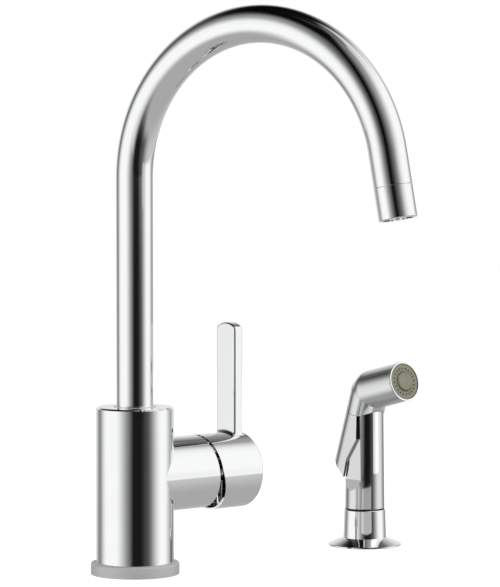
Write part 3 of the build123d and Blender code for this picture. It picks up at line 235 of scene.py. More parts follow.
def relief(tree, source, height, shader, strength=1.0):
    """Raises the surface by height where source is 1."""
    bump = tree.nodes.new("ShaderNodeBump")
    bump.inputs["Strength"].default_value = strength
    bump.inputs["Distance"].default_value = height
    tree.links.new(source, bump.inputs["Height"])
    tree.links.new(bump.outputs["Normal"], shader.inputs["Normal"])


def polished_plate(name, base, polish, ripple):
    """Chrome plate: faint ripples of the metal below and a haze that comes and goes."""
    material, tree, shader = new_finish(name)
    shader.inputs["Metallic"].default_value = 1.0
    haze = grain(tree, 90, 3.0)
    tinted(tree, haze, base, 0.985, shader.inputs["Base Color"])
    between(tree, grain(tree, 420, 4.0), 0.6 * polish, 1.4 * polish, shader.inputs["Roughness"])
    relief(tree, grain(tree, 55, 1.0), ripple, shader)
    return material


def brushed_plate(name, base, polish, stretch, metal=1.0):
    """Metal with fine brush marks along one direction."""
    material, tree, shader = new_finish(name)
    shader.inputs["Metallic"].default_value = metal
    marks = grain(tree, 300, 4.0, stretch)
    tinted(tree, marks, base, 0.9, shader.inputs["Base Color"])
    between(tree, marks, 0.85 * polish, 1.15 * polish, shader.inputs["Roughness"])
    relief(tree, marks, 0.000012, shader)
    return material


def turned_brass(name, base):
    """Brass with the fine rings of the lathe and a little tarnish."""
    material, tree, shader = new_finish(name)
    shader.inputs["Metallic"].default_value = 1.0
    tinted(tree, grain(tree, 120, 5.0), base, 0.78, shader.inputs["Base Color"])
    rings = grain(tree, 240, 2.0, (1, 1, 14))
    between(tree, rings, 0.22, 0.38, shader.inputs["Roughness"])
    relief(tree, rings, 0.000015, shader)
    return material


def moulded(name, base, low, high, pebble, height):
    """Rubber or plastic with the fine pebble of its mould."""
    material, tree, shader = new_finish(name)
    tinted(tree, grain(tree, 150, 4.0), base, 0.88, shader.inputs["Base Color"])
    pebbles = grain(tree, pebble, 3.0)
    between(tree, pebbles, low, high, shader.inputs["Roughness"])
    relief(tree, pebbles, height, shader)
    return material


# ---------------------------------------------------------------- mesh helpers
def all_of(mesh):
    return mesh.verts[:] + mesh.edges[:] + mesh.faces[:]


def tidy_normals(mesh):
    bmesh.ops.remove_doubles(mesh, verts=mesh.verts, dist=0.000001)
    bmesh.ops.recalc_face_normals(mesh, faces=mesh.faces)


def soften(mesh, crease=30.0):
    """Smooth faces, with sharp edges wherever two faces meet at more than crease degrees."""
    for face in mesh.faces:
        face.smooth = True
    for edge in mesh.edges:
        edge.smooth = edge.calc_face_angle(pi) < radians(crease)


def stand(mesh, name, body, finish, replaced=()):
    """Turns a finished bmesh into a piece that rides on a body."""
    data = bpy.data.meshes.new(name)
    mesh.to_mesh(data)
    mesh.free()
    data.materials.append(finish)
    piece = bpy.data.objects.new(name, data)
    bpy.context.scene.collection.objects.link(piece)
    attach(piece, body)
    if replaced:
        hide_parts(*replaced)
    return piece


def line(mesh, points):
    """A few vertices in a row, ready to be spun."""
    verts = [mesh.verts.new(point) for point in points]
    edges = [mesh.edges.new(pair) for pair in zip(verts, verts[1:])]
    return verts + edges


def full_spin(mesh, geometry, centre=(0, 0, 0), axis=(0, 0, 1), steps=96):
    bmesh.ops.spin(
        mesh, geom=geometry, cent=centre, axis=axis, dvec=(0, 0, 0), angle=tau, steps=steps, use_merge=True
    )


def level_loop(mesh, height):
    """The open edges that lie at one height."""
    return [
        edge
        for edge in mesh.edges
        if edge.is_boundary and all(abs(vert.co.z - height) < LEVEL_SLACK for vert in edge.verts)
    ]


def thread_band(mesh, radius, depth, pitch, low, high, steps=ROUND_STEPS):
    """A screw thread between two heights: one tooth's outline, spun up the shank."""
    start = pitch * (int(low / pitch) - 2)
    turns = int((high - start) / pitch) + 2
    root = radius - depth
    outline = line(mesh, [(radius if tip else root, 0, start + rise * pitch) for tip, rise in TOOTH])
    rise = (0, 0, pitch / steps)
    bmesh.ops.spin(mesh, geom=outline, cent=(0, 0, 0), axis=(0, 0, 1), dvec=rise, angle=tau, steps=steps)
    turn = all_of(mesh)
    for step in range(1, turns):
        copy = bmesh.ops.duplicate(mesh, geom=turn)["geom"]
        verts = [item for item in copy if isinstance(item, bmesh.types.BMVert)]
        bmesh.ops.translate(mesh, verts=verts, vec=(0, 0, step * pitch))
    bmesh.ops.remove_doubles(mesh, verts=mesh.verts, dist=0.000002)
    for height, facing in ((high, 1), (low, -1)):
        bmesh.ops.bisect_plane(
            mesh,
            geom=all_of(mesh),
            dist=CUT_SLACK,
            plane_co=(0, 0, height),
            plane_no=(0, 0, facing),
            clear_outer=True,
        )


def loop_at_radius(mesh, radius, height, steps=ROUND_STEPS):
    """A round open loop, for a bore's mouth."""
    made = bmesh.ops.create_circle(
        mesh, radius=radius, segments=steps, matrix=Matrix.Translation((0, 0, height))
    )
    return list({edge for vert in made["verts"] for edge in vert.link_edges})


def threaded_tube(radius, sizes, low, high, inside):
    """A tube with a thread on its outside; inside lists radius and height from its top to its foot."""
    mesh = bmesh.new()
    thread_band(mesh, radius, sizes.thread_depth, sizes.thread_pitch, low, high)
    foot = level_loop(mesh, low)
    last = level_loop(mesh, high)
    # Known fault: on the faucet's shank both end rings come out crossed, over the mouths of its bore.
    for bore, height in inside:
        mouth = loop_at_radius(mesh, bore, height)
        bmesh.ops.bridge_loops(mesh, edges=last + mouth)
        last = mouth
    bmesh.ops.bridge_loops(mesh, edges=last + foot)
    tidy_normals(mesh)
    soften(mesh)
    return mesh


def threaded_nut(flats, radius, sizes, low, high):
    """A hexagon nut with turned corners and a thread in its hole."""
    corner = flats / 2 / cos(radians(30))
    turned = corner - sizes.nut_chamfer
    mesh = bmesh.new()
    made = bmesh.ops.create_circle(
        mesh, cap_ends=True, radius=corner, segments=6, matrix=Matrix.Translation((0, 0, low))
    )
    raised = bmesh.ops.extrude_face_region(mesh, geom=mesh.faces[:])
    verts = [item for item in raised["geom"] if isinstance(item, bmesh.types.BMVert)]
    bmesh.ops.translate(mesh, verts=verts, vec=(0, 0, high - low))
    bmesh.ops.recalc_face_normals(mesh, faces=mesh.faces)
    for height, facing in ((high, 1), (low, -1)):
        for step in range(CHAMFER_STEPS):
            heading = tau * step / CHAMFER_STEPS
            cut = bmesh.ops.bisect_plane(
                mesh,
                geom=all_of(mesh),
                dist=CUT_SLACK,
                plane_co=(turned * cos(heading), turned * sin(heading), height),
                plane_no=(cos(heading), sin(heading), facing),
                clear_outer=True,
            )
            rim = [item for item in cut["geom_cut"] if isinstance(item, bmesh.types.BMEdge)]
            rim = [edge for edge in rim if edge.is_valid and edge.is_boundary]
            if len(rim) > 2:
                bmesh.ops.contextual_create(mesh, geom=rim)
    ends = [face for face in mesh.faces if abs(face.normal.z) > 0.999]
    bmesh.ops.delete(mesh, geom=ends, context="FACES_ONLY")
    outer = {height: level_loop(mesh, height) for height in (low, high)}
    hole = bmesh.new()
    play = sizes.thread_play
    thread_band(hole, radius + play, sizes.thread_depth, sizes.thread_pitch, low, high)
    spare = bpy.data.meshes.new("nut hole")
    hole.to_mesh(spare)
    hole.free()
    keep = set(mesh.edges)
    mesh.from_mesh(spare)
    bpy.data.meshes.remove(spare)
    for height, rim in outer.items():
        inner = [edge for edge in level_loop(mesh, height) if edge not in keep]
        bmesh.ops.bridge_loops(mesh, edges=rim + inner)
    tidy_normals(mesh)
    soften(mesh)
    return mesh


# ---------------------------------------------------------------- pieces
def finish_of(name):
    """A finish that an earlier operator made."""
    if name not in bpy.data.materials:
        raise RuntimeError(f"make the finishes first: {name} is missing")
    return bpy.data.materials[name]


PLATED_HAZE = 1.6  # roughness of plated plastic, as a multiple of the polished plate's
SATIN_METAL = 0.45  # how metallic the brushed plate looks


class FAUCET_OT_finishes(Operator):
    """Mix the plates, metals, plastics, rubber and ceramic"""

    bl_idname = "faucet.finishes"
    bl_label = "Mix Finishes"

    def execute(self, context):
        shades = context.scene.faucet_finishes
        polished_plate("polished_chrome", shades.chrome, shades.chrome_polish, 0.000010)
        plated_polish = PLATED_HAZE * shades.chrome_polish
        polished_plate("plated_plastic", shades.plated, plated_polish, 0.000022)
        brushed_plate("satin_chrome", shades.satin, shades.satin_polish, (1, 1, 6), SATIN_METAL)
        brushed_plate("stainless_steel", shades.steel, 0.30, (1, 1, 4))
        turned_brass("turned_brass", shades.brass)
        moulded("black_rubber", shades.rubber, 0.55, 0.75, 2600, 0.00004)
        moulded("moulded_black", shades.black_plastic, 0.32, 0.45, 1800, 0.00002)
        moulded("natural_acetal", shades.white_plastic, 0.35, 0.48, 1500, 0.00002)
        moulded("spray_face_plastic", shades.face_plastic, 0.38, 0.50, 2200, 0.00002)
        moulded("lapped_ceramic", shades.ceramic, 0.10, 0.20, 900, 0.000004)
        return {"FINISHED"}


SLOT_FINISH = {
    "chrome": "polished_chrome",
    "chromed_plastic": "plated_plastic",
    "brass": "turned_brass",
    "steel": "stainless_steel",
    "rubber": "black_rubber",
    "black_plastic": "moulded_black",
    "white_plastic": "natural_acetal",
    "grey_plastic": "spray_face_plastic",
    "ceramic": "lapped_ceramic",
}


class FAUCET_OT_plating(Operator):
    """Give every carried-over solid its finish"""

    bl_idname = "faucet.plating"
    bl_label = "Finish the Solids"

    def execute(self, context):
        for name, node in frame["nodes"].items():
            finish = finish_of(SLOT_FINISH[NODE_SLOT[name]])
            for slot in node.material_slots:
                slot.material = finish
        return {"FINISHED"}


class FAUCET_OT_gooseneck_tube(Operator):
    """Bend the gooseneck tube from a straight riser, one arch and a short fall"""

    bl_idname = "faucet.gooseneck_tube"
    bl_label = "Bend Gooseneck Tube"

    def execute(self, context):
        sizes = context.scene.faucet_spout
        heading = Matrix.Rotation(sizes.spout_turn, 3, "Z") @ Vector((1, 0, 0))
        across = UP.cross(heading)
        centre = sizes.arch_radius * heading + sizes.arch_start * UP
        falling = Matrix.Rotation(sizes.arch_sweep, 3, across) @ UP
        mesh = bmesh.new()
        bottom = Matrix.Translation((0, 0, sizes.tube_bottom))
        bmesh.ops.create_circle(mesh, radius=sizes.tube_radius, segments=80, matrix=bottom)
        riser = bmesh.ops.extrude_edge_only(mesh, edges=mesh.edges[:])["geom"]
        top = [item for item in riser if isinstance(item, bmesh.types.BMVert)]
        rim = [edge for edge in mesh.edges if all(vert in top for vert in edge.verts)]
        bmesh.ops.translate(mesh, verts=top, vec=(sizes.arch_start - sizes.tube_bottom) * UP)
        arch = bmesh.ops.spin(
            mesh,
            geom=top + rim,
            cent=centre,
            axis=across,
            dvec=(0, 0, 0),
            angle=sizes.arch_sweep,
            steps=144,
        )
        end = [item for item in arch["geom_last"] if isinstance(item, bmesh.types.BMEdge)]
        fall = bmesh.ops.extrude_edge_only(mesh, edges=end)["geom"]
        tip = [item for item in fall if isinstance(item, bmesh.types.BMVert)]
        bmesh.ops.translate(mesh, verts=tip, vec=sizes.outlet_fall * falling)
        tidy_normals(mesh)
        mesh.faces.ensure_lookup_table()
        lowest = min(mesh.faces, key=lambda face: face.calc_center_median().z)
        if lowest.normal.dot(Vector((*lowest.calc_center_median().xy, 0))) < 0:
            bmesh.ops.reverse_faces(mesh, faces=mesh.faces)
        bmesh.ops.solidify(mesh, geom=mesh.faces[:], thickness=sizes.tube_wall)
        soften(mesh)
        stand(mesh, "gooseneck_tube", "spout", finish_of("polished_chrome"), ["spout_tube"])
        return {"FINISHED"}


class FAUCET_OT_base_ring(Operator):
    """Turn the base ring with its gasket groove and its rounded rim"""

    bl_idname = "faucet.base_ring"
    bl_label = "Turn Base Ring"

    def execute(self, context):
        sizes = context.scene.faucet_deck
        outline = (
            (sizes.ring_bore, 0),
            (sizes.gasket_inner, 0),
            (sizes.gasket_inner, sizes.gasket_depth),
            (sizes.gasket_outer, sizes.gasket_depth),
            (sizes.gasket_outer, 0),
            (sizes.ring_radius, 0),
            (sizes.ring_radius, sizes.ring_height),
            (sizes.ring_bore, sizes.ring_height),
            (sizes.ring_bore, 0),
        )
        mesh = bmesh.new()
        full_spin(mesh, line(mesh, [(radius, 0, height) for radius, height in outline]), steps=128)
        tidy_normals(mesh)
        rim = [
            edge
            for edge in mesh.edges
            if all(vert.co.xy.length > sizes.gasket_outer for vert in edge.verts)
            and all(vert.co.z > sizes.ring_height / 2 for vert in edge.verts)
        ]
        bmesh.ops.bevel(
            mesh, geom=rim, offset=sizes.ring_edge, affect="EDGES", segments=8, profile=0.5, material=-1
        )
        tidy_normals(mesh)
        soften(mesh)
        stand(mesh, "satin_base_ring", "faucet", finish_of("satin_chrome"), ["base_ring"])
        return {"FINISHED"}


class FAUCET_OT_threaded_shanks(Operator):
    """Cut the threads of the faucet's shank and of the spray holder's shank"""

    bl_idname = "faucet.threaded_shanks"
    bl_label = "Cut Shank Threads"

    def execute(self, context):
        sizes = context.scene.faucet_deck
        low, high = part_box("mounting_shank")
        bore = sizes.shank_bore
        straight = ((bore, high[2]), (bore, low[2]))
        mesh = threaded_tube(high[0], sizes, low[2], high[2], straight)
        self.stand_shank(mesh, "mounting_shank")
        low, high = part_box("holder_shank")
        radius = (high[0] - low[0]) / 2
        stepped = (
            (radius, 0.0),
            (radius, high[2]),
            (sizes.liner_radius, high[2]),
            (sizes.liner_radius, 0.0),
            (sizes.holder_bore, 0.0),
            (sizes.holder_bore, low[2]),
        )
        mesh = threaded_tube(radius, sizes, low[2], -0.0002, stepped)
        bmesh.ops.translate(mesh, verts=mesh.verts, vec=((low[0] + high[0]) / 2, 0, 0))
        self.stand_shank(mesh, "holder_shank")
        return {"FINISHED"}

    def stand_shank(self, mesh, node):
        slot = NODE_SLOT[node]
        stand(mesh, "threaded_" + node, "faucet", finish_of(SLOT_FINISH[slot]), [node])


class FAUCET_OT_clamping_nuts(Operator):
    """Cut the two clamping nuts below the deck"""

    bl_idname = "faucet.clamping_nuts"
    bl_label = "Cut Clamping Nuts"

    def execute(self, context):
        sizes = context.scene.faucet_deck
        for node, shank in (("mounting_nut", "mounting_shank"), ("holder_nut", "holder_shank")):
            low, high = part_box(node)
            shank_low, shank_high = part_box(shank)
            middle = (low[0] + high[0]) / 2
            flats = high[1] - low[1]
            radius = (shank_high[0] - shank_low[0]) / 2
            mesh = threaded_nut(flats, radius, sizes, low[2], high[2])
            bmesh.ops.translate(mesh, verts=mesh.verts, vec=(middle, 0, 0))
            slot = NODE_SLOT[node]
            stand(mesh, "threaded_" + node, "faucet", finish_of(SLOT_FINISH[slot]), [node])
        return {"FINISHED"}


class FAUCET_OT_nozzle_tips(Operator):
    """Raise a small rim round each nozzle of the spray face"""

    bl_idname = "faucet.nozzle_tips"
    bl_label = "Add Nozzle Tips"

    def execute(self, context):
        sizes = context.scene.faucet_spray
        low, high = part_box("holder_shank")
        mesh = bmesh.new()
        tip = sizes.face_front + sizes.nozzle_rise
        root = sizes.face_front - sizes.nozzle_root
        around = sizes.nozzle_circle
        section = line(
            mesh,
            [
                (around + sizes.nozzle_bore, 0, root),
                (around + sizes.nozzle_bore, 0, tip - NOZZLE_BEVEL),
                (around + sizes.nozzle_bore + NOZZLE_BEVEL, 0, tip),
                (around + sizes.nozzle_rim - NOZZLE_TAPER, 0, tip),
                (around + sizes.nozzle_rim, 0, root),
            ],
        )
        section.append(mesh.edges.new((section[4], section[0])))
        full_spin(mesh, section, centre=(around, 0, 0), steps=20)
        bmesh.ops.remove_doubles(mesh, verts=mesh.verts, dist=0.000001)
        count = sizes.nozzle_count
        bmesh.ops.spin(
            mesh,
            geom=all_of(mesh),
            cent=(0, 0, 0),
            axis=(0, 0, 1),
            dvec=(0, 0, 0),
            angle=tau * (count - 1) / count,
            steps=count - 1,
            use_duplicate=True,
        )
        head = Matrix.Translation(((low[0] + high[0]) / 2, -sizes.head_back, sizes.head_height))
        turn = Matrix.Rotation(pi / 2 - sizes.head_tilt, 4, "X")
        bmesh.ops.transform(mesh, matrix=head @ turn, verts=mesh.verts)
        tidy_normals(mesh)
        stand(mesh, "nozzle_tips", "hand_spray", finish_of("spray_face_plastic"))
        return {"FINISHED"}


class FAUCET_OT_lever_spring(Operator):
    """Wind the coil spring that the thumb lever presses together"""

    bl_idname = "faucet.lever_spring"
    bl_label = "Wind Lever Spring"

    def execute(self, context):
        sizes = context.scene.faucet_spray
        low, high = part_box("thumb_spring")
        wire = sizes.spring_wire
        steps = SPRING_STEPS * sizes.spring_turns
        middle = (low + high) / 2
        radius = (high.x - low.x) / 2 - wire
        rise = high.y - low.y - 2 * wire
        mesh = bmesh.new()
        start = Matrix.Translation((middle.x + radius, low.y + wire, middle.z))
        bmesh.ops.create_circle(mesh, cap_ends=False, radius=wire, segments=10, matrix=start)
        bmesh.ops.spin(
            mesh,
            geom=mesh.verts[:] + mesh.edges[:],
            cent=(middle.x, 0, middle.z),
            axis=(0, 1, 0),
            dvec=(0, rise / steps, 0),
            angle=tau * sizes.spring_turns,
            steps=steps,
        )
        bmesh.ops.holes_fill(mesh, edges=mesh.edges)
        tidy_normals(mesh)
        soften(mesh)
        finish = finish_of("stainless_steel")
        spring = stand(mesh, "wound_lever_spring", "hand_spray", finish, ["thumb_spring"])
        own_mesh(spring)
        return {"FINISHED"}


# ---------------------------------------------------------------- studio
def soft_card_group():
    """A card of one brightness with soft edges, hung round the object by azimuth and elevation."""
    group = bpy.data.node_groups.new("Soft Card", "ShaderNodeTree")
    face = group.interface
    for label in ("Under", "Azimuth", "Elevation"):
        face.new_socket(label, in_out="INPUT", socket_type="NodeSocketFloat")
    for label in ("Centre Azimuth", "Centre Elevation", "Half Width", "Half Height"):
        face.new_socket(label, in_out="INPUT", socket_type="NodeSocketFloat")
    for label in ("Side Softness", "End Softness", "Slant", "Brightness"):
        face.new_socket(label, in_out="INPUT", socket_type="NodeSocketFloat")
    face.new_socket("Light", in_out="OUTPUT", socket_type="NodeSocketFloat")
    nodes, links = group.nodes, group.links
    given = nodes.new("NodeGroupInput")
    result = nodes.new("NodeGroupOutput")

    reckon = reckoner(group)

    def cover(distance, half, soft):
        fade = nodes.new("ShaderNodeMapRange")
        fade.interpolation_type = "SMOOTHSTEP"
        links.new(distance, fade.inputs["Value"])
        links.new(reckon("SUBTRACT", half, soft), fade.inputs["From Min"])
        links.new(reckon("ADD", half, soft), fade.inputs["From Max"])
        fade.inputs["To Min"].default_value = 1.0
        fade.inputs["To Max"].default_value = 0.0
        return fade.outputs["Result"]

    rise = reckon("SUBTRACT", given.outputs["Elevation"], given.outputs["Centre Elevation"])
    lean = reckon("MULTIPLY", rise, given.outputs["Slant"])
    middle = reckon("ADD", given.outputs["Centre Azimuth"], lean)
    away = reckon("SUBTRACT", given.outputs["Azimuth"], middle)
    side = reckon("ABSOLUTE", reckon("WRAP", away, 180, -180))
    end = reckon("ABSOLUTE", rise)
    wide = cover(side, given.outputs["Half Width"], given.outputs["Side Softness"])
    tall = cover(end, given.outputs["Half Height"], given.outputs["End Softness"])
    mask = reckon("MULTIPLY", wide, tall)
    blend = nodes.new("ShaderNodeMix")
    blend.data_type = "FLOAT"
    links.new(mask, blend.inputs["Factor"])
    links.new(given.outputs["Under"], blend.inputs["A"])
    links.new(given.outputs["Brightness"], blend.inputs["B"])
    links.new(blend.outputs["Result"], result.inputs["Light"])
    return group


# name, azimuth, elevation, half width, half height, side softness and end softness in degrees, the
# degrees that the card slants sideways for each degree up, and its brightness. The cards were tuned
# by a search that compares brightness with the photograph, and then rounded.
STUDIO_CARDS = (
    ("back wall", 146, 15, 34, 24, 9, 4, -0.5, 0.8),
    ("back flag", 176, 65, 55, 34, 34, 17, 0.4, 0.01),
    ("left softbox", -114, -7, 35, 29, 20, 15, 0.3, 1),
    ("left edge flag", -170, 5, 4, 33, 24, 10, 0.3, 0),
    ("right softbox", 40, 32, 61, 42, 20, 2, 0.6, 1),
    ("upper shade", -39, 48, 51, 48, 30, 1, 0, 0.39),
    ("lower shade", -15, -13, 36, 16, 25, 7, 0.2, 0.08),
    ("leaning flag", -61, 44, 31, 41, 32, 7, -0.4, 0),
    ("black card", -34, -10, 22, 19, 13, 13, 0.5, 0.01),
    ("ceiling flag", -158, 64, 97, 17, 16, 12, 1.4, 0),
    ("ceiling", 0, 90, 400, 14, 1, 40, 0, 0.01),
)


HORIZON_LOW = -9.2  # degrees at which the ground gives way to the walls
HORIZON_HIGH = -8.4
# brightness of the ground far below and at the horizon, and of the walls, tuned as the cards were
GROUND_NEAR = 0.41
GROUND_FAR = 0.63
WALL_LIGHT = 0.33


def reckoner(tree):
    """Adds maths nodes to a tree, with numbers or sockets as their values."""

    def reckon(kind, *values):
        node = tree.nodes.new("ShaderNodeMath")
        node.operation = kind
        for socket, value in zip(node.inputs, values):
            if isinstance(value, (int, float)):
                socket.default_value = value
            else:
                tree.links.new(value, socket)
        return node.outputs[0]

    return reckon


def hang_cards(tree, cards, azimuth, elevation, under):
    """Lays the cards over each other and returns the brightness of each direction."""
    group = bpy.data.node_groups.get("Soft Card") or soft_card_group()
    light = under
    for name, *values in cards:
        card = tree.nodes.new("ShaderNodeGroup")
        card.node_tree = group
        card.label = name
        tree.links.new(light, card.inputs["Under"])
        tree.links.new(azimuth, card.inputs["Azimuth"])
        tree.links.new(elevation, card.inputs["Elevation"])
        for socket, value in zip(list(card.inputs)[3:], values):
            socket.default_value = value
        light = card.outputs["Light"]
    return light


def studio_surroundings(room_light):
    """White for the camera, soft cards for the plate to reflect and an even light for all else."""
    world = bpy.data.worlds.new("studio")
    world.use_nodes = True
    tree = world.node_tree
    nodes, links = tree.nodes, tree.links
    nodes.clear()
    bpy.context.scene.world = world

    reckon = reckoner(tree)
    heading = nodes.new("ShaderNodeTexCoord")
    split = nodes.new("ShaderNodeSeparateXYZ")
    links.new(heading.outputs["Generated"], split.inputs[0])
    towards_user = reckon("MULTIPLY", split.outputs["Y"], -1)
    azimuth = reckon("DEGREES", reckon("ARCTAN2", split.outputs["X"], towards_user))
    elevation = reckon("DEGREES", reckon("ARCSINE", split.outputs["Z"]))

    ground = nodes.new("ShaderNodeMapRange")
    ground.interpolation_type = "SMOOTHSTEP"
    links.new(elevation, ground.inputs["Value"])
    ground.inputs["From Min"].default_value = -45
    ground.inputs["From Max"].default_value = 0
    ground.inputs["To Min"].default_value = GROUND_NEAR
    ground.inputs["To Max"].default_value = GROUND_FAR
    above = nodes.new("ShaderNodeMapRange")
    links.new(elevation, above.inputs["Value"])
    above.inputs["From Min"].default_value = HORIZON_LOW
    above.inputs["From Max"].default_value = HORIZON_HIGH
    above.inputs["To Min"].default_value = 0.0
    above.inputs["To Max"].default_value = 1.0
    horizon = nodes.new("ShaderNodeMix")
    horizon.data_type = "FLOAT"
    links.new(above.outputs["Result"], horizon.inputs["Factor"])
    links.new(ground.outputs["Result"], horizon.inputs["A"])
    horizon.inputs["B"].default_value = WALL_LIGHT
    light = hang_cards(tree, STUDIO_CARDS, azimuth, elevation, horizon.outputs["Result"])
    rays = nodes.new("ShaderNodeLightPath")
    mirrored = reckon("MAXIMUM", rays.outputs["Is Glossy Ray"], rays.outputs["Is Transmission Ray"])
    even = nodes.new("ShaderNodeBackground")
    even.inputs["Strength"].default_value = room_light
    cards = nodes.new("ShaderNodeBackground")
    links.new(light, cards.inputs["Color"])
    white = nodes.new("ShaderNodeBackground")
    white.inputs["Color"].default_value = (1, 1, 1, 1)
    even.inputs["Color"].default_value = (1, 1, 1, 1)
    seen = nodes.new("ShaderNodeMixShader")
    links.new(mirrored, seen.inputs["Fac"])
    links.new(even.outputs[0], seen.inputs[1])
    links.new(cards.outputs[0], seen.inputs[2])
    final = nodes.new("ShaderNodeMixShader")
    links.new(rays.outputs["Is Camera Ray"], final.inputs["Fac"])
    links.new(seen.outputs[0], final.inputs[1])
    links.new(white.outputs[0], final.inputs[2])
    output = nodes.new("ShaderNodeOutputWorld")
    links.new(final.outputs[0], output.inputs["Surface"])


# name, azimuth in degrees, then in metres the height of its middle, its width and its own height,
# and its brightness
SPRAY_LAMPS = (
    ("front strip", 24, 0.105, 0.078, 0.130, 0.60),
    ("low fill", -34, 0.016, 0.120, 0.029, 0.45),
)
SPRAY_LAMP_REACH = 0.12
SPRAY_PLATE = ("sprayer_shell", "thumb_lever", "spray_face_ring", "hose_socket", "spray_holder")


def spray_lamps(axis):
    """Soft strip lamps close round the hand spray, which light nothing else."""
    plate = bpy.data.collections.new("hand_spray_plate")
    for name in SPRAY_PLATE:
        plate.objects.link(frame["nodes"][name])
    for name, azimuth, height, width, tall, brightness in SPRAY_LAMPS:
        lamp = bpy.data.lights.new(name, "AREA")
        lamp.shape = "RECTANGLE"
        lamp.size = width
        lamp.size_y = tall
        lamp.energy = brightness * pi * width * tall
        outward = Vector((sin(radians(azimuth)), -cos(radians(azimuth)), 0))
        hung = bpy.data.objects.new(name.replace(" ", "_"), lamp)
        hung.location = axis + SPRAY_LAMP_REACH * outward + height * UP
        hung.rotation_euler = (-outward).to_track_quat("-Z", "Y").to_euler()
        hung.visible_camera = False
        hung.light_linking.receiver_collection = plate
        bpy.context.scene.collection.objects.link(hung)


def floor_finish(shade, glow):
    """Pale floor: plain paper that looks white to the camera and keeps the shadow."""
    material, tree, shader = new_finish("floor_paper")
    tinted(tree, grain(tree, 6, 3.0), (shade, shade, shade), 0.99, shader.inputs["Base Color"])
    shader.inputs["Roughness"].default_value = 0.9
    shader.inputs["Specular IOR Level"].default_value = 0.0
    rays = tree.nodes.new("ShaderNodeLightPath")
    seen = tree.nodes.new("ShaderNodeMath")
    seen.operation = "MAXIMUM"
    tree.links.new(rays.outputs["Is Camera Ray"], seen.inputs[0])
    tree.links.new(rays.outputs["Is Transmission Ray"], seen.inputs[1])
    level = tree.nodes.new("ShaderNodeMath")
    level.operation = "MULTIPLY"
    level.inputs[1].default_value = glow
    tree.links.new(seen.outputs[0], level.inputs[0])
    shader.inputs["Emission Color"].default_value = (1, 1, 1, 1)
    tree.links.new(level.outputs[0], shader.inputs["Emission Strength"])
    return material


FLOOR_CENTRE = (0.1, 0, -0.0002)  # between faucet and hand spray, just below the deck's face
LAMP_PLACE = (-0.9, -1.1, 1.5)
LAMP_AIM = Vector((0.08, 0, 0.1))
# the camera that fits the photograph: place in metres, turn and dip in degrees, lens in millimetres
CAMERA_PLACE = (-1.18816, -1.47656, 0.2812)
CAMERA_TURN = 41.063
CAMERA_DIP = 3.042
CAMERA_LENS = 181.23


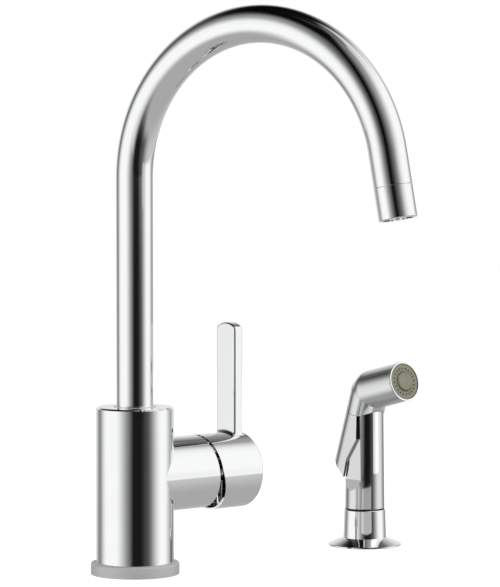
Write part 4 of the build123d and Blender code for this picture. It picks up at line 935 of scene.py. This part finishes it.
class FAUCET_OT_studio(Operator):
    """Lay the floor, hang the lamp and the cards and set the camera"""

    bl_idname = "faucet.studio"
    bl_label = "Set Up Studio"

    def execute(self, context):
        sizes = context.scene.faucet_studio
        scene = context.scene
        mesh = bmesh.new()
        drop = Matrix.Translation(FLOOR_CENTRE)
        bmesh.ops.create_circle(mesh, cap_ends=True, radius=sizes.floor_radius, segments=128, matrix=drop)
        data = bpy.data.meshes.new("floor")
        mesh.to_mesh(data)
        mesh.free()
        data.materials.append(floor_finish(sizes.floor_shade, sizes.floor_glow))
        floor = bpy.data.objects.new("floor", data)
        floor.visible_glossy = False
        scene.collection.objects.link(floor)

        studio_surroundings(sizes.room_light)
        low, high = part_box("holder_shank")
        spray_lamps(Vector(((low[0] + high[0]) / 2, 0, 0)))

        lamp = bpy.data.lights.new("soft lamp", "AREA")
        lamp.energy = sizes.lamp_power
        lamp.size = sizes.lamp_size
        hung = bpy.data.objects.new("soft_lamp", lamp)
        hung.location = LAMP_PLACE
        hung.rotation_euler = (LAMP_AIM - hung.location).to_track_quat("-Z", "Y").to_euler()
        hung.visible_glossy = False
        scene.collection.objects.link(hung)

        eye = bpy.data.cameras.new("camera")
        eye.sensor_width = 36
        eye.lens = CAMERA_LENS
        eye.clip_end = 20
        camera = bpy.data.objects.new("camera", eye)
        turn, dip = radians(CAMERA_TURN), radians(CAMERA_DIP)
        right = Vector((cos(turn), -sin(turn), 0))
        ahead = Vector((sin(turn) * cos(dip), cos(turn) * cos(dip), -sin(dip)))
        camera.matrix_world = (
            Matrix.Translation(CAMERA_PLACE)
            @ Matrix((right, right.cross(ahead), -ahead)).transposed().to_4x4()
        )
        scene.collection.objects.link(camera)
        scene.camera = camera
        scene.view_settings.view_transform = "Standard"
        return {"FINISHED"}


# ---------------------------------------------------------------- sidebar and add-on
OPERATORS = (
    FAUCET_OT_studio,
    FAUCET_OT_finishes,
    FAUCET_OT_plating,
    FAUCET_OT_gooseneck_tube,
    FAUCET_OT_base_ring,
    FAUCET_OT_threaded_shanks,
    FAUCET_OT_clamping_nuts,
    FAUCET_OT_nozzle_tips,
    FAUCET_OT_lever_spring,
)

GROUPS = {
    "faucet_spout": FaucetSpoutSizes,
    "faucet_deck": FaucetDeckSizes,
    "faucet_spray": FaucetSpraySizes,
    "faucet_finishes": FaucetFinishes,
    "faucet_studio": FaucetStudio,
}


class FAUCET_PT_workshop(Panel):
    """Sizes, colours and steps of the faucet"""

    bl_idname = "FAUCET_PT_workshop"
    bl_label = "Side Spray Faucet"
    bl_space_type = "VIEW_3D"
    bl_region_type = "UI"
    bl_category = "Faucet"

    def draw(self, context):
        for attribute, group in GROUPS.items():
            values = getattr(context.scene, attribute)
            box = self.layout.box()
            box.label(text=group.__doc__)
            for name in group.__annotations__:
                box.prop(values, name)
        for step in OPERATORS:
            self.layout.operator(step.bl_idname)


def register():
    for part in (*GROUPS.values(), *OPERATORS, FAUCET_PT_workshop):
        bpy.utils.register_class(part)
    for attribute, group in GROUPS.items():
        setattr(bpy.types.Scene, attribute, PointerProperty(type=group))


def unregister():
    for attribute in GROUPS:
        delattr(bpy.types.Scene, attribute)
    for part in (FAUCET_PT_workshop, *reversed(OPERATORS), *reversed(GROUPS.values())):
        bpy.utils.unregister_class(part)


def main():
    register()
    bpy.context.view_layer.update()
    for step in OPERATORS:
        family, name = step.bl_idname.split(".")
        getattr(getattr(bpy.ops, family), name)()


if __name__ == "__main__":
    main()
